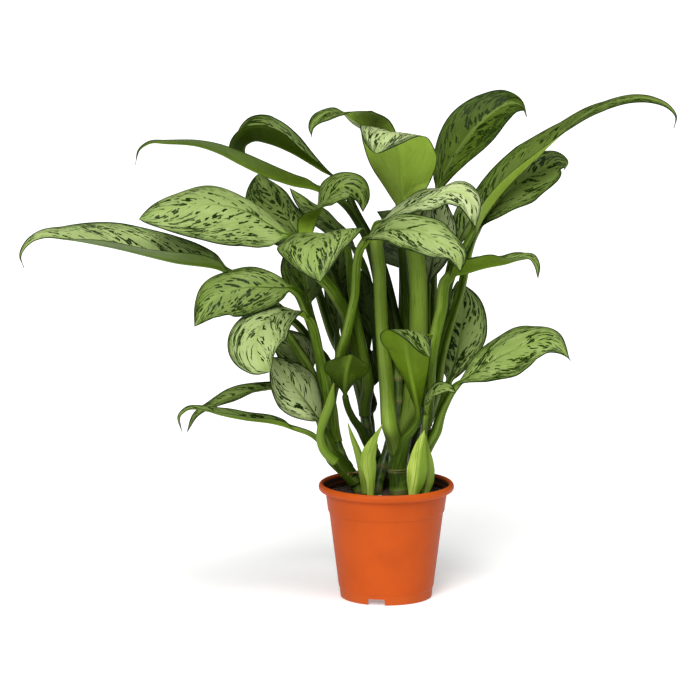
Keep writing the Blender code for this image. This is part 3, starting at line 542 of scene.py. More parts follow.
husk_brown = finish("torn_husk", paint_scar)
SCAR_HEIGHT, FIBRES = 110, 9  # a torn husk fans out round this side of the left cane
line, distance, radius = cane_shape(CANES["cane_left"])
rng = np.random.default_rng(4)
at = int(np.argmin(abs(line[:, 2] - SCAR_HEIGHT)))
for number in range(FIBRES):
    turn = math.radians(210 + 18 * number + rng.uniform(-6, 6))
    out = np.array([math.cos(turn), math.sin(turn), 0])
    root = line[at] + out * radius[at] * 0.92
    reach, drop = rng.uniform(2.5, 6.0), rng.uniform(-6.0, 3.0)
    route = [root, root + out * reach * 0.5 + (0, 0, 1.2), root + out * reach + (0, 0, drop)]
    line_out, places = smooth_route(route, 5)
    girths = np.interp(np.arange(len(line_out)), places, (0.8, 0.5, 0.12))
    settle(swept(f"husk_fibre_{number}", line_out, girths, 6, husk_brown), "cane")


# ---- Leaves ----
# Thirty-eight living leaves. Each is one growth: a sheath that wraps the cane, a fleshy channelled stalk, and a thin
# leathery blade folded along its midrib, silver with dark green flecks above and plain green below.

RIB_DEPTH = 1.5  # how far the midrib stands out below the blade's base
VEIN_SLANT, VEIN_SWEEP = 3.4, 0.65  # how steeply the raised veins, and the flecks along them, run to the margin

# Each leaf: the cane that it clasps, the height and bearing of its foot, the petiole's route and the midrib's route,
# its flat width, where along the blade it is widest, how sharply it tapers to the tip, the bearing that it heads on,
# its roll and the fold along its midrib (both at even steps from base to tip), how much each half curls, and the
# petiole's radius at both its ends. Pale and lit is how pale it is above, below and on its stalk, from 0, deep green,
# to 1, silvery above and yellow-green elsewhere; besides the leaf's own tone it carries painted light and shade,
# lower for leaves and sides in shade and higher for those in the light. What a leaf doesn't say is in COMMON.
LEAVES = {
    "leaf_left_long": dict(cane="cane_left", foot=(170, 182), petiole=[(-66, 0, 200), (-82, -2, 228),
        (-105, -5, 260)], blade=[(-133, -6, 288), (-187, -15, 301), (-243, -25, 316), (-277, -32, 323),
        (-298, -36, 325), (-309, -38, 320), (-316, -41, 309), (-313, -42, 299)], width=56, widest=0.36, taper=1.5,
        heading=187, roll=(-5, -17, -20), fold=(45, 37, 25), curl=-5, pale=(0.65, 0.22, 0.35)),
    "leaf_left_middle": dict(cane="cane_left", foot=(184, 238), petiole=[(-60, -9, 222), (-71, -14, 257)],
        blade=[(-82, -28, 278), (-103, -34, 281), (-119, -39, 282), (-134, -43, 280), (-146, -47, 276),
        (-156, -51, 267), (-166, -55, 250)], width=52, widest=0.45, heading=196, roll=(-46,), fold=(22, 5, 0),
        curl=-42, pale=(0.3, 0.5, 0.3)),
    "leaf_upper_left_broad": dict(cane="cane_back_left", foot=(196, 180), petiole=[(-36, 13, 236), (-48, 8, 288),
        (-64, 0, 311)], blade=[(-84.3, -8, 320.8), (-101.7, -13, 333.1), (-119.9, -18, 344.4), (-137.2, -23, 350.4),
        (-155.2, -28, 352.9), (-174.2, -32, 351.7), (-194.8, -36, 347.8), (-213.7, -39, 341.2)], width=70,
        widest=0.45, taper=0.8, heading=190, roll=(-42, -44, -43), fold=(-11, -12, -12), curl=-30,
        pale=(0.58, 0.5, 0.25)),
    "leaf_upper_left_long": dict(cane="cane_bent", foot=(196, 120), petiole=[(2, 30, 232), (-6, 24, 270),
        (-22, 20, 325), (-38, 22, 347)], blade=[(-54, 25, 357), (-84, 30, 363), (-115, 34, 374), (-130, 37, 381),
        (-146, 39, 389), (-165, 42, 395), (-193, 44, 397), (-208, 45, 397), (-217, 46, 391), (-221, 46, 377)],
        width=42, widest=0.34, taper=1.3, heading=173, roll=(28, 24, 10), fold=(22, 14, 15), curl=-8,
        pale=(0.4, 0.3, 0.3)),
    "leaf_top_left": dict(cane="cane_bent", foot=(206, 60), petiole=[(8, 38, 240), (-6, 38, 296), (-30.2, 37, 343.8)],
        blade=[(-38.1, 38, 362.5), (-54.0, 40, 372.1), (-70.9, 43, 381.6), (-87.8, 46, 390.2), (-104.6, 49, 396.1),
        (-117.1, 52, 397.6), (-124.3, 54, 392.8), (-125.2, 55, 384.6)], width=50, widest=0.8, taper=0.45, heading=166,
        roll=(-8, -8, -8, -8, -5), fold=(58, 62, 62, 62, 28), curl=-6, pale=(0.22, 0.05, 0.15)),
    "leaf_top_middle": dict(cane="cane_middle", foot=(160, 20), petiole=[(26, -2, 206), (28, -1, 250), (25, -2, 306)],
        blade=[(18, -1, 338), (13, -14, 371), (9, -31, 400), (4, -51, 418), (-2, -66, 418), (-7, -77, 412),
        (-10, -85, 404)], width=68, taper=0.75, heading=262, roll=(0, -14, -20), fold=(45, 15, 2), curl=-15,
        stem=(6.4, 6.4), pale=(0.9, 0.95, 0.9)),
    "leaf_top_back": dict(cane="cane_back_right", foot=(188, 150), petiole=[(20, 34, 230), (14, 32, 300)],
        blade=[(5.1, 29, 378.0), (-2.0, 26, 395.4), (-12.6, 21, 408.6), (-25.8, 15, 420.0), (-39.0, 9, 428.7),
        (-51.2, 4, 429.3), (-60.8, 0, 424.4), (-66.0, -3, 415.9), (-65.2, -4, 408.1)], width=46, widest=0.42,
        taper=1.2, heading=188, roll=(35, 35, 35, 32, 8, 0, -5), fold=(25, 25, 25, 22, 2, -6, -4), curl=-8,
        pale=(0.2, 0.95, 0.4)),
    "leaf_upper_left_small": dict(cane="cane_back_left", foot=(212, 235), petiole=[(-33, 1, 248), (-46, -12, 274)],
        blade=[(-71.1, -19, 313.6), (-65.0, -20, 328.8), (-58.9, -21, 344.8), (-49.4, -23, 360.1),
        (-38.0, -25, 368.3), (-27.6, -27, 367.7), (-21.5, -28, 359.0), (-20.7, -29, 345.9)], width=42, widest=0.42,
        heading=15, roll=(-50, -42, 5, 20, 30), fold=(45, 35, 12, 8, 5), curl=-15, stem=(4.4, 4.4),
        pale=(0.28, 0.6, 0.5)),
    "leaf_behind_left": dict(cane="cane_back_left", foot=(204, 130), petiole=[(-30, 32, 250), (-26, 42, 280)],
        blade=[(-72.7, 50, 305.1), (-81.7, 58, 320.1), (-93.4, 66, 336.2), (-104.2, 73, 351.5), (-113.3, 79, 365.2)],
        width=62, widest=0.55, taper=0.7, heading=150, roll=(-14,), fold=(12, -8, -12), curl=-18,
        pale=(0.3, 0.3, 0.2)),
    "leaf_front_left_arch": dict(cane="cane_back_left", foot=(176, 300), petiole=[(-20, 0, 214), (-30, -5, 268)],
        blade=[(-35, -6, 312), (-47, -42, 328), (-59, -84, 332), (-62, -110, 324), (-57, -126, 300)], width=76,
        widest=0.55, heading=252, roll=(0, 10, 10), fold=(30, 8, 5), curl=-20, pale=(0.48, 0.5, 0.55)),
    "leaf_front_arch": dict(cane="cane_left", foot=(192, 320), petiole=[(-41, -12, 216), (-35, -20, 240),
        (-29, -26, 268)], blade=[(-20, -32, 320), (-2, -46, 332), (20, -60, 335), (40, -73, 329), (59, -83, 317),
        (62, -90, 303)], width=46, heading=325, roll=(30, 30, 25), fold=(30, 8, 5), curl=-25, stem=(3.6, 3.4),
        pale=(0.62, 0.5, 0.5)),
    "leaf_upper_right_arch": dict(cane="cane_middle", foot=(148, 244), petiole=[(0, -19, 186), (-4, -12, 232),
        (-7, -7, 290)], blade=[(-7, -12, 330), (11, -22, 346), (37, -30, 358), (57, -37, 365), (70, -43, 360),
        (76, -47, 335)], width=42, widest=0.55, heading=340, roll=(30, 20, 20), fold=(30, 8, 5), curl=-25,
        stem=(5.2, 5.2), pale=(1.0, 0.5, 0.7)),
    "leaf_right_upright": dict(cane="cane_back_right", foot=(170, 300), petiole=[(37, 14, 212), (35, 12, 250)],
        blade=[(36, 12, 275), (40, 14, 296), (43, 15, 320), (46, 14, 341), (50, 8, 354)], width=38, widest=0.55,
        heading=80, fold=(35, 8, 5), pale=(0.95, 0.5, 0.5)),
    "leaf_top_right": dict(cane="cane_back_right", foot=(196, 60), petiole=[(40, 46, 240), (42, 46, 310)],
        blade=[(44, 30, 353), (56, 37, 378), (67, 43, 395), (80, 50, 411), (94, 57, 423), (109, 63, 430),
        (120, 68, 427), (125, 71, 416)], width=50, heading=35, roll=(30, 30, 20), fold=(42, 24, 8), curl=-12,
        pale=(0.0, 0.4, 0.3)),
    "leaf_right_long": dict(cane="cane_back_right", foot=(182, 10), petiole=[(48, 26, 220), (56, 14, 280)],
        blade=[(74, 9, 320), (87, 11, 341), (105, 12, 364), (128, 11, 387), (153, 9, 411), (178, 5, 430),
        (196, 1, 438), (213, -3, 442), (230, -6, 441), (245, -9, 434), (250, -10, 427), (248, -11, 416)], width=46,
        widest=0.24, taper=1.2, heading=355, roll=(18, 20, 22, 10, 13, 24, 30), fold=(44, 40, 36, 14, -2, 0, 0),
        curl=-5, pale=(0.12, 0.85, 0.45)),
    "leaf_right_raised": dict(cane="cane_right", foot=(170, 60), petiole=[(48, 14, 210), (65, 14, 270)],
        blade=[(79, 21, 322), (98, 26, 346), (117, 29, 364), (138, 33, 376), (152, 36, 382), (158, 37, 379),
        (156, 38, 373)], width=50, widest=0.55, heading=15, roll=(45, 45, 30), fold=(35, 12, 5),
        pale=(0.28, 0.2, 0.4)),
    "leaf_right_curled": dict(cane="cane_right", foot=(176, 250), petiole=[(38, -11, 214), (47, -10, 256)],
        blade=[(54, -6, 286), (68, -9, 290), (86, -14, 296), (103, -19, 300), (115, -23, 304), (124, -26, 305),
        (129, -28, 299), (131, -29, 288)], width=36, widest=0.35, heading=348, roll=(-5, -8, 15), fold=(50, 27, 10),
        curl=0, stem=(4.6, 4.4), pale=(0.4, 0.35, 0.55)),
    "leaf_behind_middle": dict(cane="cane_back_right", foot=(158, 130), petiole=[(18, 46, 200), (24, 50, 250)],
        blade=[(26, 52, 280), (14, 60, 298), (2, 68, 310), (-10, 76, 312)], width=40, widest=0.45, heading=135,
        roll=(-30, -30, -20), fold=(30, 12, 5), pale=(0.15, 0.2, 0.1)),
    "leaf_right_narrow": dict(cane="cane_back_right", foot=(140, 30), petiole=[(47, 32, 162)], blade=[(55, 32, 184),
        (61, 36, 203), (66, 42, 227), (68, 48, 252), (63, 53, 273)], width=50, heading=80, fold=(45, 22, 10),
        pale=(0.55, 0.5, 0.5)),
    "leaf_lower_right_broad": dict(cane="cane_right", foot=(138, 340), petiole=[(50, -9, 170)],
        blade=[(60.5, -12, 189.6), (70.8, -16, 199.1), (86.3, -21, 210.6), (103.5, -27, 221.4), (119.8, -33, 229.5),
        (133.3, -39, 234.9), (142.6, -44, 234.9), (151.0, -48, 229.5), (158.7, -51, 219.5)], width=58, widest=0.48,
        taper=1.5, heading=335, roll=(40, 44, 44, 40, 34), fold=(20, 10, 4, 0, -4), curl=-16),
    "leaf_front_droop": dict(cane="cane_middle", foot=(134, 310), petiole=[(22, -20, 152)], blade=[(27.2, -20, 163.7),
        (25.4, -25, 181.4), (21.8, -32, 199.4), (18.2, -41, 218.6), (16.3, -50, 236.8), (20.5, -60, 248.2),
        (28.9, -69, 244.5), (36.5, -76, 227.4)], width=46, widest=0.62, taper=0.7, heading=282,
        roll=(-28, -28, -24, 0, 5), fold=(42, 42, 34, -4, -14), curl=-12, pale=(0.5, 0.4, 0.4)),
    "leaf_right_small": dict(cane="cane_right", foot=(134, 262), petiole=[(33, -18, 154)], blade=[(34, -23, 166),
        (37, -28, 181), (44, -34, 190), (53, -40, 193), (60, -44, 190)], width=22, heading=320, roll=(45, 40, 20),
        fold=(40, 15, 5), stem=(2.6, 2.2)),
    "leaf_left_dark": dict(cane="cane_back_left", foot=(138, 240), petiole=[(-29, 2, 158)], blade=[(-36, -16, 181),
        (-36, -28, 198), (-34, -42, 213), (-31, -54, 226)], width=40, widest=0.6, heading=270, fold=(40, 15, 5),
        stem=(2.8, 2.4), pale=(0.1, 0.05, 0.2)),
    "leaf_shaded_small": dict(cane="cane_back_left", foot=(146, 60), petiole=[(-11, 29, 164)], blade=[(-14, 26, 180),
        (-12, 24, 195), (-9, 24, 208), (-6, 25, 220)], width=20, heading=80, fold=(30, 12, 5), stem=(2.8, 2.4),
        pale=(0.15, 0.2, 0.1)),
    "leaf_left_folded": dict(cane="cane_left", foot=(156, 280), petiole=[(-52, -18, 192), (-60, -20, 226)],
        blade=[(-67, -22, 250), (-82, -36, 260), (-97, -52, 260), (-110, -66, 250), (-113, -76, 236),
        (-108, -82, 224), (-100, -86, 216)], width=60, widest=0.6, taper=0.9, heading=222, roll=(0, -4, -14),
        fold=(35, 10, 5), curl=-25, pale=(0.7, 0.55, 0.45)),
    "leaf_left_back": dict(cane="cane_left", foot=(192, 100), petiole=[(-66, 30, 221)], blade=[(-83, 30, 241),
        (-104, 33, 247), (-120, 34, 245), (-131, 35, 232)], width=34, heading=178, roll=(-40, -40, -30),
        fold=(25, 5, 0), curl=-25, pale=(0.35, 0.3, 0.2)),
    "leaf_left_shaded": dict(cane="cane_left", foot=(158, 130), petiole=[(-59, 11, 180)], blade=[(-65, 10, 199),
        (-79, 11, 216), (-93, 12, 228), (-101, 13, 232)], width=36, heading=170, roll=(-50, -50, -40),
        fold=(30, 10, 5), curl=-15, stem=(2.8, 2.2), pale=(0.8, 0.3, 0.2)),
    "leaf_left_low": dict(cane="cane_left", foot=(124, 250), petiole=[(-52, -14, 146)], blade=[(-58, -18, 159),
        (-77, -26, 188), (-88, -30, 203), (-101, -34, 220)], width=48, heading=190, roll=(-55, -60, -50),
        fold=(25, 5, 0), curl=-25, stem=(3.0, 2.4), pale=(0.85, 0.5, 0.4)),
    "leaf_lowest_left_back": dict(cane="cane_left", foot=(130, 150), petiole=[(-64, 10, 166)], blade=[(-88, 5, 186),
        (-109, 2, 185), (-132, -2, 180), (-151, -6, 173), (-167, -10, 164), (-175, -14, 149)], width=24, widest=0.4,
        heading=186, roll=(-10, -14, -10), fold=(30, 15, 5), stem=(2.6, 2.0), pale=(0.35, 0.3, 0.3)),
    "leaf_lowest_left_front": dict(cane="cane_left", foot=(116, 205), petiole=[(-56, -10, 138), (-64, -11, 146)],
        blade=[(-80, -14, 153), (-99, -18, 159), (-124, -22, 163), (-145, -26, 168), (-157, -29, 172),
        (-174, -32, 173), (-180, -34, 168), (-178, -36, 153)], width=20, widest=0.35, heading=187, roll=(0, -6, 0),
        fold=(40, 30, 15), stem=(2.6, 2.0), pale=(0.4, 0.3, 0.4)),
    "leaf_rear_left": dict(cane="cane_back_left", foot=(182, 120), petiole=[(-44, 42, 218), (-60, 56, 262)],
        blade=[(-70, 76, 288), (-88, 110, 298), (-106, 146, 300), (-118, 178, 297), (-122, 190, 291)], width=52,
        widest=0.45, heading=120, fold=(28, 10, 5), curl=-25),
    "leaf_rear_middle": dict(cane="cane_bent", foot=(172, 60), petiole=[(14, 44, 226), (15, 60, 276)],
        blade=[(14, 76, 306), (20, 112, 322), (26, 150, 320), (30, 182, 302), (30, 196, 284)], width=62, widest=0.45,
        heading=82, fold=(28, 10, 5), curl=-25),
    "leaf_rear_right": dict(cane="cane_back_right", foot=(172, 85), petiole=[(40, 50, 210), (53, 63, 262)],
        blade=[(62, 76, 298), (80, 98, 328), (100, 118, 347), (118, 136, 352), (132, 150, 350), (137, 157, 343)],
        width=46, widest=0.45, heading=50, fold=(28, 10, 5), curl=-25),
    "leaf_inner_dark": dict(cane="cane_left", foot=(198, 150), petiole=[(-61, 12, 230)], blade=[(-68, 20, 256),
        (-71, 24, 276), (-73, 29, 298), (-72, 34, 318)], width=42, heading=95, fold=(30, 10, 0), curl=-15,
        stem=(2.8, 2.4), pale=(0.0, 0.1, 0.1)),
    "leaf_inner_flecked": dict(cane="cane_left", foot=(186, 30), petiole=[(-42, 11, 208)], blade=[(-43, 16, 228),
        (-44, 22, 258), (-41, 27, 290), (-36, 34, 318)], width=24, widest=0.55, heading=85, fold=(35, 12, 5),
        stem=(2.8, 2.4), pale=(0.2, 0.2, 0.1)),
    "leaf_inner_narrow": dict(cane="cane_bent", foot=(176, 210), petiole=[(-8, 14, 206)], blade=[(-10, 12, 226),
        (-14, 13, 246), (-18, 15, 266), (-22, 18, 288)], width=24, heading=95, fold=(35, 12, 5), stem=(2.8, 2.2),
        pale=(0.1, 0.2, 0.1)),
    "leaf_inner_back": dict(cane="cane_bent", foot=(168, 125), petiole=[(-10, 40, 202)], blade=[(-22, 48, 222),
        (-26, 52, 240), (-30, 54, 257), (-33, 54, 274)], width=44, heading=95, fold=(20, 5, 0), stem=(2.8, 2.4),
        pale=(0.0, 0.1, 0.0)),
    "leaf_behind_strip": dict(cane="cane_back_left", foot=(216, 60), petiole=[(-13, 42, 252)],
        blade=[(-26.6, 66, 297.3), (-40.8, 74, 312.4), (-57.0, 81, 326.8), (-72.2, 87, 338.7), (-85.8, 93, 350.6)],
        width=28, heading=150, roll=(-14,), fold=(10, -5, -8), curl=-12, stem=(2.8, 2.4), pale=(0.2, 0.3, 0.2)),
}
COMMON = dict(widest=0.5, taper=1.0, roll=(0,), curl=-10, stem=(3.7, 2.7), pale=(0.5, 0.5, 0.5))

# Places across half a blade, from the margin to the midrib, on its upper and its under side.
ABOVE = (1, 0.985, 0.95, 0.89, 0.81, 0.72, 0.62, 0.52, 0.42, 0.32, 0.23, 0.15, 0.085, 0.04)
BELOW = (1, 0.95, 0.84, 0.7, 0.54, 0.38, 0.24, 0.13, 0.06)
ACROSS = np.array(ABOVE + (0,) + tuple(-e for e in reversed(ABOVE))
                  + tuple(-e for e in BELOW) + (0,) + tuple(reversed(BELOW)))
IS_TOP = np.arange(len(ACROSS)) < 2 * len(ABOVE) + 1
BLADE_STATIONS = np.concatenate([np.linspace(0, 0.1, 12), np.linspace(0.1, 0.93, 62)[1:],
                                 np.linspace(0.93, 0.996, 9)[1:]])
# Where along the petiole its sheath starts on the cane and lets go of it, and marks for stations that lie in
# the sheath and on the free stalk.
WRAP_FOOT, WRAP_END = -18.0, 14.0
WRAPPED, FREE = -2.0, -1.0


def unit(v):
    return v / np.linalg.norm(v, axis=-1, keepdims=True)


def carried(line, start, side):
    """Directions along the line, and a sideways vector carried both ways from start without twisting."""
    ahead = unit(np.gradient(line, axis=0))
    sides = np.zeros_like(line)
    sides[start] = unit(side - ahead[start] * (side @ ahead[start]))
    for i in range(start + 1, len(line)):
        sides[i] = unit(sides[i - 1] - ahead[i] * (sides[i - 1] @ ahead[i]))
    for i in range(start - 1, -1, -1):
        sides[i] = unit(sides[i + 1] - ahead[i] * (sides[i + 1] @ ahead[i]))
    return ahead, sides


def stance(distance, distances, line, ahead, sides):
    """The line's point at a distance along it, and the directions to its side and up from it there."""
    centre, forward, side = (at_distance(distance, distances, table) for table in (line, ahead, sides))
    forward = unit(forward)
    side = unit(side - forward * (side @ forward))
    return centre, side, np.cross(forward, side)


def ease(t):
    t = min(max(t, 0.0), 1.0)
    return t * t * (3 - 2 * t)


def painted_shade_inside(points):
    """1 for points deep in the middle of the bush and low behind its front, 0 at its outside: painted shade, standing
    in for the bush's own shadow on what lies there.
    """
    x, y, z = points[:, 0] + 10, points[:, 1], points[:, 2]
    reach = np.interp(z, (95, 200, 300, 345, 380), (45, 75, 85, 60, 20))
    deep = np.clip((y + 24) / 34, 0, 1)
    low = 0.95 * np.clip((y + 31) / 8, 0, 1) * np.clip((245 - z) / 65, 0, 1)
    return np.sqrt(np.clip(1 - np.abs(x) / reach, 0, 1)) * np.maximum(deep, low)


def angle_at(u, degrees):
    """The angle at a place along the blade, from angles at even steps along it."""
    return math.radians(float(np.interp(u, np.linspace(0, 1, len(degrees)), degrees)))


def stalk_ring(radius, centre, side, up, channel):
    """The round of a stalk, dished along its upper side, with a low wing on each side of the dish."""
    count = int(IS_TOP.sum())
    turns = np.radians(np.concatenate([np.linspace(3, 177, count),
                                       np.linspace(183, 357, len(ACROSS) - count)]))
    off = np.degrees(np.abs(turns - math.pi / 2))
    r = radius * (1 - channel * np.exp(-(off / 26) ** 2) + channel * 0.3 * np.exp(-((off - 48) / 14) ** 2))
    return centre + side * (r * np.cos(turns))[:, None] + up * (r * np.sin(turns))[:, None]


def blade_ring(leaf, wave, centre, side, up, u):
    """Points round a blade: over the top from margin to margin, and back underneath."""
    widest, taper = leaf["widest"], leaf["taper"]
    rise = taper * widest / (1 - widest)
    peak = widest**rise * (1 - widest) ** taper
    spread = max(leaf["width"] / 2 * max(u, 1e-4) ** rise * (1 - u) ** taper / peak, 0.45)
    fold = angle_at(u, leaf["fold"])
    curl = math.radians(leaf["curl"]) or 1e-4
    far, sign = np.abs(ACROSS), np.sign(ACROSS)
    bend = fold + curl * far
    points = (centre + side * (sign * spread * (np.sin(bend) - math.sin(fold)) / curl)[:, None]
              + up * (spread * (math.cos(fold) - np.cos(bend)) / curl)[:, None])
    outward = side * (-sign * np.sin(bend))[:, None] + up * np.cos(bend)[:, None]

    # The side veins quilt the blade and its margins ripple. A groove lies over the midrib, which stands out below.
    reach = spread * far
    veins = VEIN_SLANT * 4.6 * u + VEIN_SLANT * np.log(1.02 - far)
    quilt = 0.22 * np.sin(2 * math.pi * veins) * far * (1 - far) * 4
    ripple = wave["high"] * np.sin(2 * math.pi * (wave["often"] * u + np.where(sign > 0, *wave["phase"])))
    height = min(1, spread / 12) * (quilt + ripple * far**3 * math.sin(math.pi * u) ** 0.6)
    groove = 0.55 * (1 - u) * np.exp(-((reach / 1.5) ** 2))
    thick = np.minimum(0.36 + 0.4 * (1 - far), spread * 0.5)
    rib = min(1, spread / 4) * (RIB_DEPTH * (1 - u) + 0.25) * np.exp(-((reach / (1.1 + 0.9 * (1 - u))) ** 2))
    height = height - np.where(IS_TOP, groove, thick + rib)
    return points + outward * height[:, None], spread


def skinned(name, kind, points, count, material, **notes):
    """A closed skin over rings of count points each, flat on the first ring and drawn to the last point."""
    last = len(points) - 1 - count
    faces = [tuple(reversed(range(count)))]
    for a in range(0, last, count):
        b = a + count
        faces += [(a + j, a + (j + 1) % count, b + (j + 1) % count, b + j) for j in range(count)]
    faces += [(last + j, last + (j + 1) % count, len(points) - 1) for j in range(count)]
    return add_piece(f"{name}_{kind}", mesh_of(name + "_skin", points, faces, **notes), material)


def leaf_piece(name, leaf, rng):
    """One leaf from its sheath to its tip, with what its finish needs to know noted on its points."""
    thick, thin = leaf["stem"]
    height, bearing = leaf["foot"]
    cane_line, cane_distance, cane_radius = cane_shape(CANES[leaf["cane"]])
    spot = int(np.argmin(abs(cane_line[:, 2] - height)))
    cane_ahead = unit(np.gradient(cane_line, axis=0))[spot]
    out = np.array([math.cos(math.radians(bearing)), math.sin(math.radians(bearing)), 0.0])
    out = unit(out - cane_ahead * (out @ cane_ahead))
    foot = cane_line[spot] + out * (cane_radius[spot] + thick + 0.35)
    line, places = smooth_route([foot, foot + cane_ahead * 12 + out * 1.5] + leaf["petiole"] + leaf["blade"])
    distances = distance_along(line)
    start = places[2 + len(leaf["petiole"])]
    neck_at, length = distances[start], distances[-1] - distances[start]
    heading = math.radians(leaf["heading"])
    ahead, sides = carried(line, start, np.array([-math.sin(heading), math.cos(heading), 0.0]))
    wave = {"high": rng.uniform(0.7, 1.5), "often": rng.uniform(1.8, 3.4), "phase": rng.uniform(0, 1, 2)}
    seed, (above, below, on_stalk) = rng.uniform(0, 40), leaf["pale"]

    stations = [(d, WRAPPED) for d in np.arange(WRAP_FOOT, WRAP_END, 2.0)]
    stations += [(d, FREE) for d in np.arange(WRAP_END, neck_at - 2, 4.0)]
    stations += [(neck_at + length * u, u) for u in BLADE_STATIONS]
    rings, place, look, course = [], [], [], []
    for distance, u in stations:
        centre, side, up = stance(max(distance, 0.0), distances, line, ahead, sides)
        roll = angle_at(u, leaf["roll"])
        side, up = side * math.cos(roll) + up * math.sin(roll), up * math.cos(roll) - side * math.sin(roll)
        part = min(1.0, max(0.0, distance / neck_at))
        radius = (thick + (thin - thick) * part) * (1.22 + 0.28 * ease(1 - part / 0.6))
        spread, round_it, channel = radius, radius, 0.12 + 0.26 * ease(distance / 60)
        if u == WRAPPED:  # round the cane at the foot, easing off it on to the stalk's own line
            beside = cane_distance[spot] + distance
            axis = at_distance(beside, cane_distance, cane_line)
            around = float(np.interp(beside, cane_distance, cane_radius)) + 0.7
            if distance < 0:
                centre = axis + out * (np.linalg.norm(foot - cane_line[spot]))
            leaving = ease((distance - WRAP_FOOT) / (WRAP_END - WRAP_FOOT))
            centre = axis + (centre - axis) * leaving
            round_it, channel = around + (radius - around) * leaving, 0.12 * leaving
        ring = stalk_ring(round_it, centre, side, up, channel)
        if u >= 0:  # the stalk's round opens out into the blade
            grown = ease(u / 0.09)
            blade, half = blade_ring(leaf, wave, centre, side, up, u)
            ring = ring + (blade - ring) * grown
            spread = radius + (half - radius) * grown
        rings.append(ring)
        on_blade = ease(u / 0.06) if u >= 0 else 0.0
        for across, top in zip(ACROSS, IS_TOP):
            flow = VEIN_SWEEP * leaf["width"] * -math.log(1.02 - abs(across))
            place.append((distance - neck_at, across * spread, spread))
            pale = on_blade * (above if top else below) + (1 - on_blade) * on_stalk
            look.append((float(top), 1 - on_blade, pale))
            course.append((max(u, 0.0), seed + (3.0 if across > 0 else 0.0), distance - neck_at - flow))
    points = np.concatenate(rings + [line[-1:]])  # the tip closes the skin
    place.append((length, 0, 0.4))
    look.append((1, 0, above))
    course.append((1, seed, length))
    return skinned(name, "blade", points, len(ACROSS), silver_leaf, place=place, look=look, course=course,
                   shade=painted_shade_inside(points))


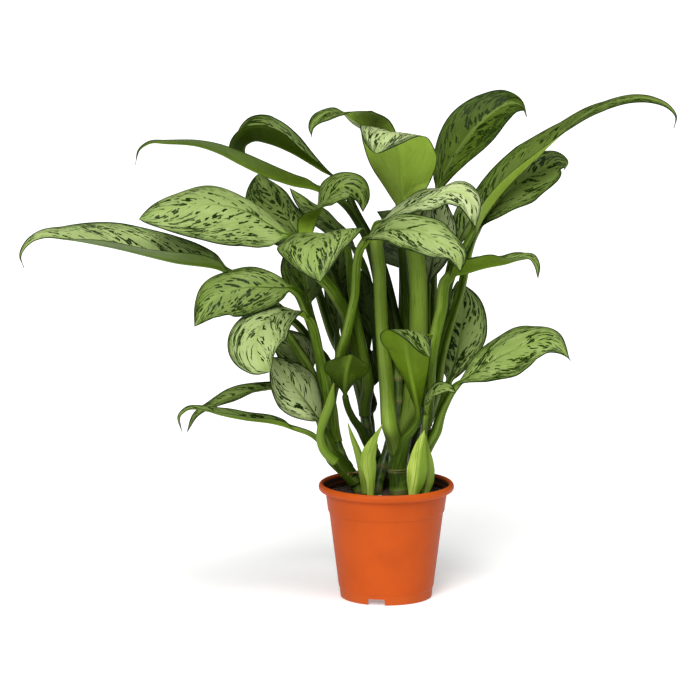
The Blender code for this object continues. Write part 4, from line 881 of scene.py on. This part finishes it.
def paint_leaf(start):
    along, across, spread = start.attribute("place").split()
    top, stalk, pale = start.attribute("look").split()
    part, seed, vein = start.attribute("course").split()
    mid = across.size()
    edge = mid / spread

    # Flecks lie in broken lines along the veins, closer together towards the margin and the tip.
    cells = start.joined(vein / 4.6 + seed * 7.3, along / 5.2 + seed * 3.1, 0)
    wobble = start.joined(vein * 0.35, along * 0.35, seed).noise(1.0, 2.0, 0.6)
    blocks = cells.node("ShaderNodeTexVoronoi", {"voronoi_dimensions": "2D", "distance": "CHEBYCHEV"},
                        {"Vector": cells, "Scale": 1.0, "Randomness": 0.85})
    chance = blocks["Color"].split()[0]
    line = start.joined(vein * 0.11, along * 0.022, seed * 3.1).noise(1.0, 1.0)
    group = start.joined(along * 0.035, mid * 0.07, seed * 9.1).noise(1.0, 1.0)
    outer = edge.step(0.25, 0.85) * 0.12 + part.step(0.65, 1.0) * 0.12
    crowd = (line - 0.5) * 1.7 + (group - 0.5) * 0.9 + outer - pale * 0.08
    fleck = (chance + crowd).step(0.75, 0.78) * (blocks + wobble * 0.6).step(0.84, 0.74)
    streak = start.joined(vein * 0.2, along * 0.055, seed * 5.3).noise(1.0, 4.0, 0.65)
    streak = (streak + outer * 0.35 + (group - 0.5) * 0.25).step(0.59, 0.615) * 0.9
    smudge = (chance * 0.3 + crowd).step(0.3, 0.75) * 0.35

    cloud = start.joined(along / 26, across / 12, seed).noise(1.0, 3.0)
    threads = start.joined(vein * 0.55, along / 40, seed).noise(1.0, 2.0)
    silver = (pale * 2).blend((0.05, 0.08, 0.008), (0.215, 0.3, 0.078)).coated(
        (pale * 2 - 1, (0.48, 0.56, 0.27)), (cloud.step(0.48, 0.75) * pale * 0.7, (0.38, 0.47, 0.175)),
        (cloud.step(0.5, 0.25) * 0.4, (0.11, 0.18, 0.024)),
        (threads.step(0.45, 0.78) * 0.3, (0.085, 0.15, 0.016)))
    base = part.step(0.14, 0.0) * mid.step(11.0, 2.0)
    rim_shade = edge.step(0.72, 0.97) * 0.45 + part.step(0.88, 1.0) * 0.5
    # A dark line painted along the midrib's groove near the base is painted shade in the groove.
    groove_shade = mid.step(1.1, 0.35) * part.step(0.72, 0.15)
    marks = fleck.maths("MAXIMUM", fleck, streak) * mid.step(0.5, 1.2)
    margin = (spread - mid).step(1.6, 0.8)
    above = silver.coated(
        (smudge, (0.075, 0.135, 0.012)), (base * 0.75, (0.12, 0.205, 0.02)), (rim_shade, (0.05, 0.1, 0.008)),
        (mid.step(3.0, 0.8) * 0.35, (0.23, 0.33, 0.07)), (groove_shade * 0.85, (0.022, 0.046, 0.003)),
        (marks, (0.009, 0.023, 0.001)), (margin * 0.92, (0.006, 0.015, 0.001)))

    under = (pale * 2).blend((0.022, 0.042, 0.001), (0.12, 0.205, 0.008)).coated(
        (pale * 2 - 1, (0.32, 0.47, 0.06)), (cloud.step(0.45, 0.75) * 0.3, (0.18, 0.29, 0.02)),
        (threads.step(0.5, 0.75) * 0.35, (0.06, 0.115, 0.004)), (mid.step(2.2, 0.9) * 0.3, (0.18, 0.285, 0.026)),
        (margin * 0.8, (0.014, 0.034, 0.001)))

    # The stalk is grained along its length. Its upper side has a painted highlight on its wings and painted shade
    # in its dark channel.
    grain = start.joined(along / 22, across * 1.6, seed).noise(1.0, 3.0, 0.6)
    stem = (pale * 2).blend((0.018, 0.04, 0.001), (0.085, 0.16, 0.006)).coated(
        (pale * 2 - 1, (0.27, 0.4, 0.05)), (grain.step(0.5, 0.68) * 0.6, (0.23, 0.34, 0.04)),
        (grain.step(0.48, 0.28) * 0.75, (0.016, 0.038, 0.001)),
        (edge.step(0.55, 0.95) * top * 0.5, (0.27, 0.36, 0.075)),
        (edge.step(0.45, 0.0) * top * 0.6, (0.03, 0.065, 0.002)))

    # Painted shade darkens what lies deep in the bush and low behind its front.
    shaded = start.attribute("shade").split()[0] * 0.82
    colour = stalk.blend(top.blend(under, above), stem).coated((shaded, (0.004, 0.01, 0.001)))
    rough = cloud * 0.1 + (1 - top) * 0.06 + threads * 0.08 + 0.3
    height = threads * 0.6 + fleck * -0.12 + grain * stalk * 0.5
    return {"Base Color": colour, "Roughness": rough, "Normal": height.bump(0.3, 0.0006)}


silver_leaf = finish("silver_leaf", paint_leaf, Specular_IOR_Level=0.07)
rng = np.random.default_rng(2025)
for name, leaf in LEAVES.items():
    settle(leaf_piece(name, {**COMMON, **leaf}, rng), "leaf", name)


# ---- Young shoots ----
# New growth beside the canes: leaves still rolled in their pale sheaths, soft, smooth and yellow-green, pointed at
# the top and rooted with the canes. One side shoot leaves the left cane.

# Young parts: route from the soil (or from a cane) to the tip, half width and half depth along it, and how much
# painted shade darkens its shaded side and the whole of it, where it stands among the leaves.
SHOOTS = {
    "shoot_left": dict(route=[(-44, -20, 124), (-50, -21, 129), (-56, -22, 138), (-58, -23, 149), (-55, -24, 162),
        (-50, -25, 176), (-46, -26, 196)], wide=(4.0, 4.2, 3.4, 4.2, 3.6), deep=(3.4, 3.2, 2.6, 2.2, 1.4),
        darkness=(0.6, 0.75)),
    "shoot_spear_left": dict(route=[(-18, -14, 94.5), (-20, -14, 110), (-25, -13, 131), (-31, -13, 148),
        (-34, -13, 158)], wide=(3.2, 3.8, 3.8, 3.2, 2.0), deep=(2.4, 2.4, 2.2, 1.6, 1.0), darkness=(0.4, 0.6)),
    "shoot_spear_right": dict(route=[(-14, -24, 94.5), (-14, -24, 108), (-16, -24, 129), (-11, -26, 145),
        (-3, -29, 160)], wide=(3.0, 4.2, 7.2, 6.0, 2.4), deep=(2.4, 2.2, 1.8, 1.4, 0.9), darkness=(0.5, 0.25)),
    "sheath_front": dict(route=[(23, -24, 94.5), (25, -24, 104), (27, -24, 120), (29, -24, 137), (33, -25, 154)],
        wide=(4.0, 8.0, 9.2, 7.2, 4.2), deep=(2.0, 2.2, 2.2, 1.8, 1.2), darkness=(0.85, 0.0)),
    "sheath_side": dict(route=[(33, -14, 94.5), (35, -14, 104), (36, -14, 120), (35, -14, 136), (34, -14, 148)],
        wide=(4.0, 6.4, 6.4, 4.6, 2.0), deep=(2.0, 2.0, 2.0, 1.6, 1.0), darkness=(0.6, 0.3)),
}


def paint_young(start):
    along, across, edge = start.attribute("place").split()
    shaded_side, seed, deep = start.attribute("look").split()
    grain = start.joined(along / 34, across * 0.9, seed).noise(1.0, 3.0, 0.55)
    cloud = start.joined(along / 22, across / 6, seed + 4).noise(1.0, 2.0)
    seam = (across + 1.2).size().step(0.55, 0.15)
    # The darker shaded side and the darkening of the whole shoot are painted shade.
    colour = grain.step(0.3, 0.7).blend((0.23, 0.34, 0.028), (0.48, 0.57, 0.12)).coated(
        (cloud.step(0.45, 0.75) * 0.6, (0.14, 0.24, 0.012)), (shaded_side * across.step(-0.5, 2.5), (0.1, 0.185, 0.008)),
        (deep, (0.06, 0.125, 0.004)), (seam * 0.6, (0.12, 0.18, 0.022)),
        (edge.step(0.9, 1.0) * 0.6, (0.17, 0.19, 0.04)))
    rough = grain * 0.18 + cloud * 0.1 + 0.26
    return {"Base Color": colour, "Roughness": rough, "Normal": (grain - seam * 0.4).bump(0.25, 0.0006)}


young_skin = finish("young_growth_skin", paint_young, Specular_IOR_Level=0.15)
TURNS = 2 * np.pi * np.arange(36) / 36
OVERLAP = 1 + 0.05 * np.exp(-((np.degrees(TURNS) - 285) / 16) ** 2)  # where a rolled leaf's edge lies on itself
rng = np.random.default_rng(77)
for name, shoot in SHOOTS.items():
    line, _ = smooth_route(shoot["route"])
    ahead, sides = carried(line, 0, np.array([1.0, 0.0, 0.0]))
    distances = distance_along(line)
    marks = np.linspace(0, 1, len(shoot["wide"]) + 1)
    seed, rings, place = rng.uniform(0, 30), [], []
    for part in np.linspace(0, 0.985, 48):
        centre, side, up = stance(part * distances[-1], distances, line, ahead, sides)
        wide, deep = (np.interp(part, marks, (*shoot[key], 0.3)) for key in ("wide", "deep"))
        rings.append(centre + side * (wide * np.cos(TURNS) * OVERLAP)[:, None]
                     + up * (deep * np.sin(TURNS) * OVERLAP)[:, None])
        place += [(part * distances[-1], wide * math.cos(turn), part) for turn in TURNS]
    place.append((distances[-1], 0, 1))
    shaded, whole = shoot["darkness"]
    piece = skinned(name, "sheath", np.concatenate(rings + [line[-1:]]), len(TURNS), young_skin, place=place,
                    look=[(shaded, seed, whole)] * len(place))
    settle(piece, "young_growth", name)


# ---- Room ----
# A white acrylic floor, lit a little from below, under soft light from large panels in front and above. The plant
# is seen from a little above pot height, well back and square on.


def paint_floor(start):
    tint = start.place().noise(3, 2)
    return {"Base Color": tint.blend((0.88, 0.88, 0.88), (0.9, 0.9, 0.9)), "Roughness": tint * 0.1 + 0.8}


FLOOR_REACH, FLOOR_LEVEL = 25, -0.0003
floor_mesh = bpy.data.meshes.new("floor")
floor_mesh.from_pydata([(x * FLOOR_REACH, y * FLOOR_REACH, FLOOR_LEVEL)
                        for x, y in ((-1, -1), (1, -1), (1, 1), (-1, 1))], [], [(0, 1, 2, 3)])
floor = add_piece("floor", floor_mesh, finish("white_floor", paint_floor, Emission_Color=(1, 1, 1, 1),
                                              Emission_Strength=0.3))

# Each light's direction towards the plant, how wide it spreads in degrees, and its strength.
LIGHTS = {"key_light": ((0.3, 1.0, -0.7), 30, 2.6), "top_light": ((-0.15, 0.3, -1.0), 45, 2.2)}
for name, (towards, spread, strength) in LIGHTS.items():
    lamp = bpy.data.lights.new(name, "SUN")
    lamp.angle, lamp.energy = math.radians(spread), strength
    light = bpy.data.objects.new(name, lamp)
    light.rotation_euler = Vector(towards).to_track_quat("-Z", "Y").to_euler()
    bpy.context.scene.collection.objects.link(light)

world = bpy.data.worlds.new("studio")
world.use_nodes = True
for socket, value in {"Color": (1, 1, 1, 1), "Strength": 0.08}.items():
    world.node_tree.nodes["Background"].inputs[socket].default_value = value
bpy.context.scene.world = world
bpy.context.scene.view_settings.view_transform = "Standard"

CAMERA_PLACE, CAMERA_AIM = (-0.0007, -3.635, 0.85), (-0.0007, -0.035, 0.2218)
camera = bpy.data.objects.new("camera", bpy.data.cameras.new("camera"))
camera.data.sensor_width, camera.data.lens = 36, 215.95
camera.data.clip_end = 80
camera.location = CAMERA_PLACE
camera.rotation_euler = (Vector(CAMERA_AIM) - camera.location).to_track_quat("-Z", "Y").to_euler()
bpy.context.scene.collection.objects.link(camera)
bpy.context.scene.camera = camera
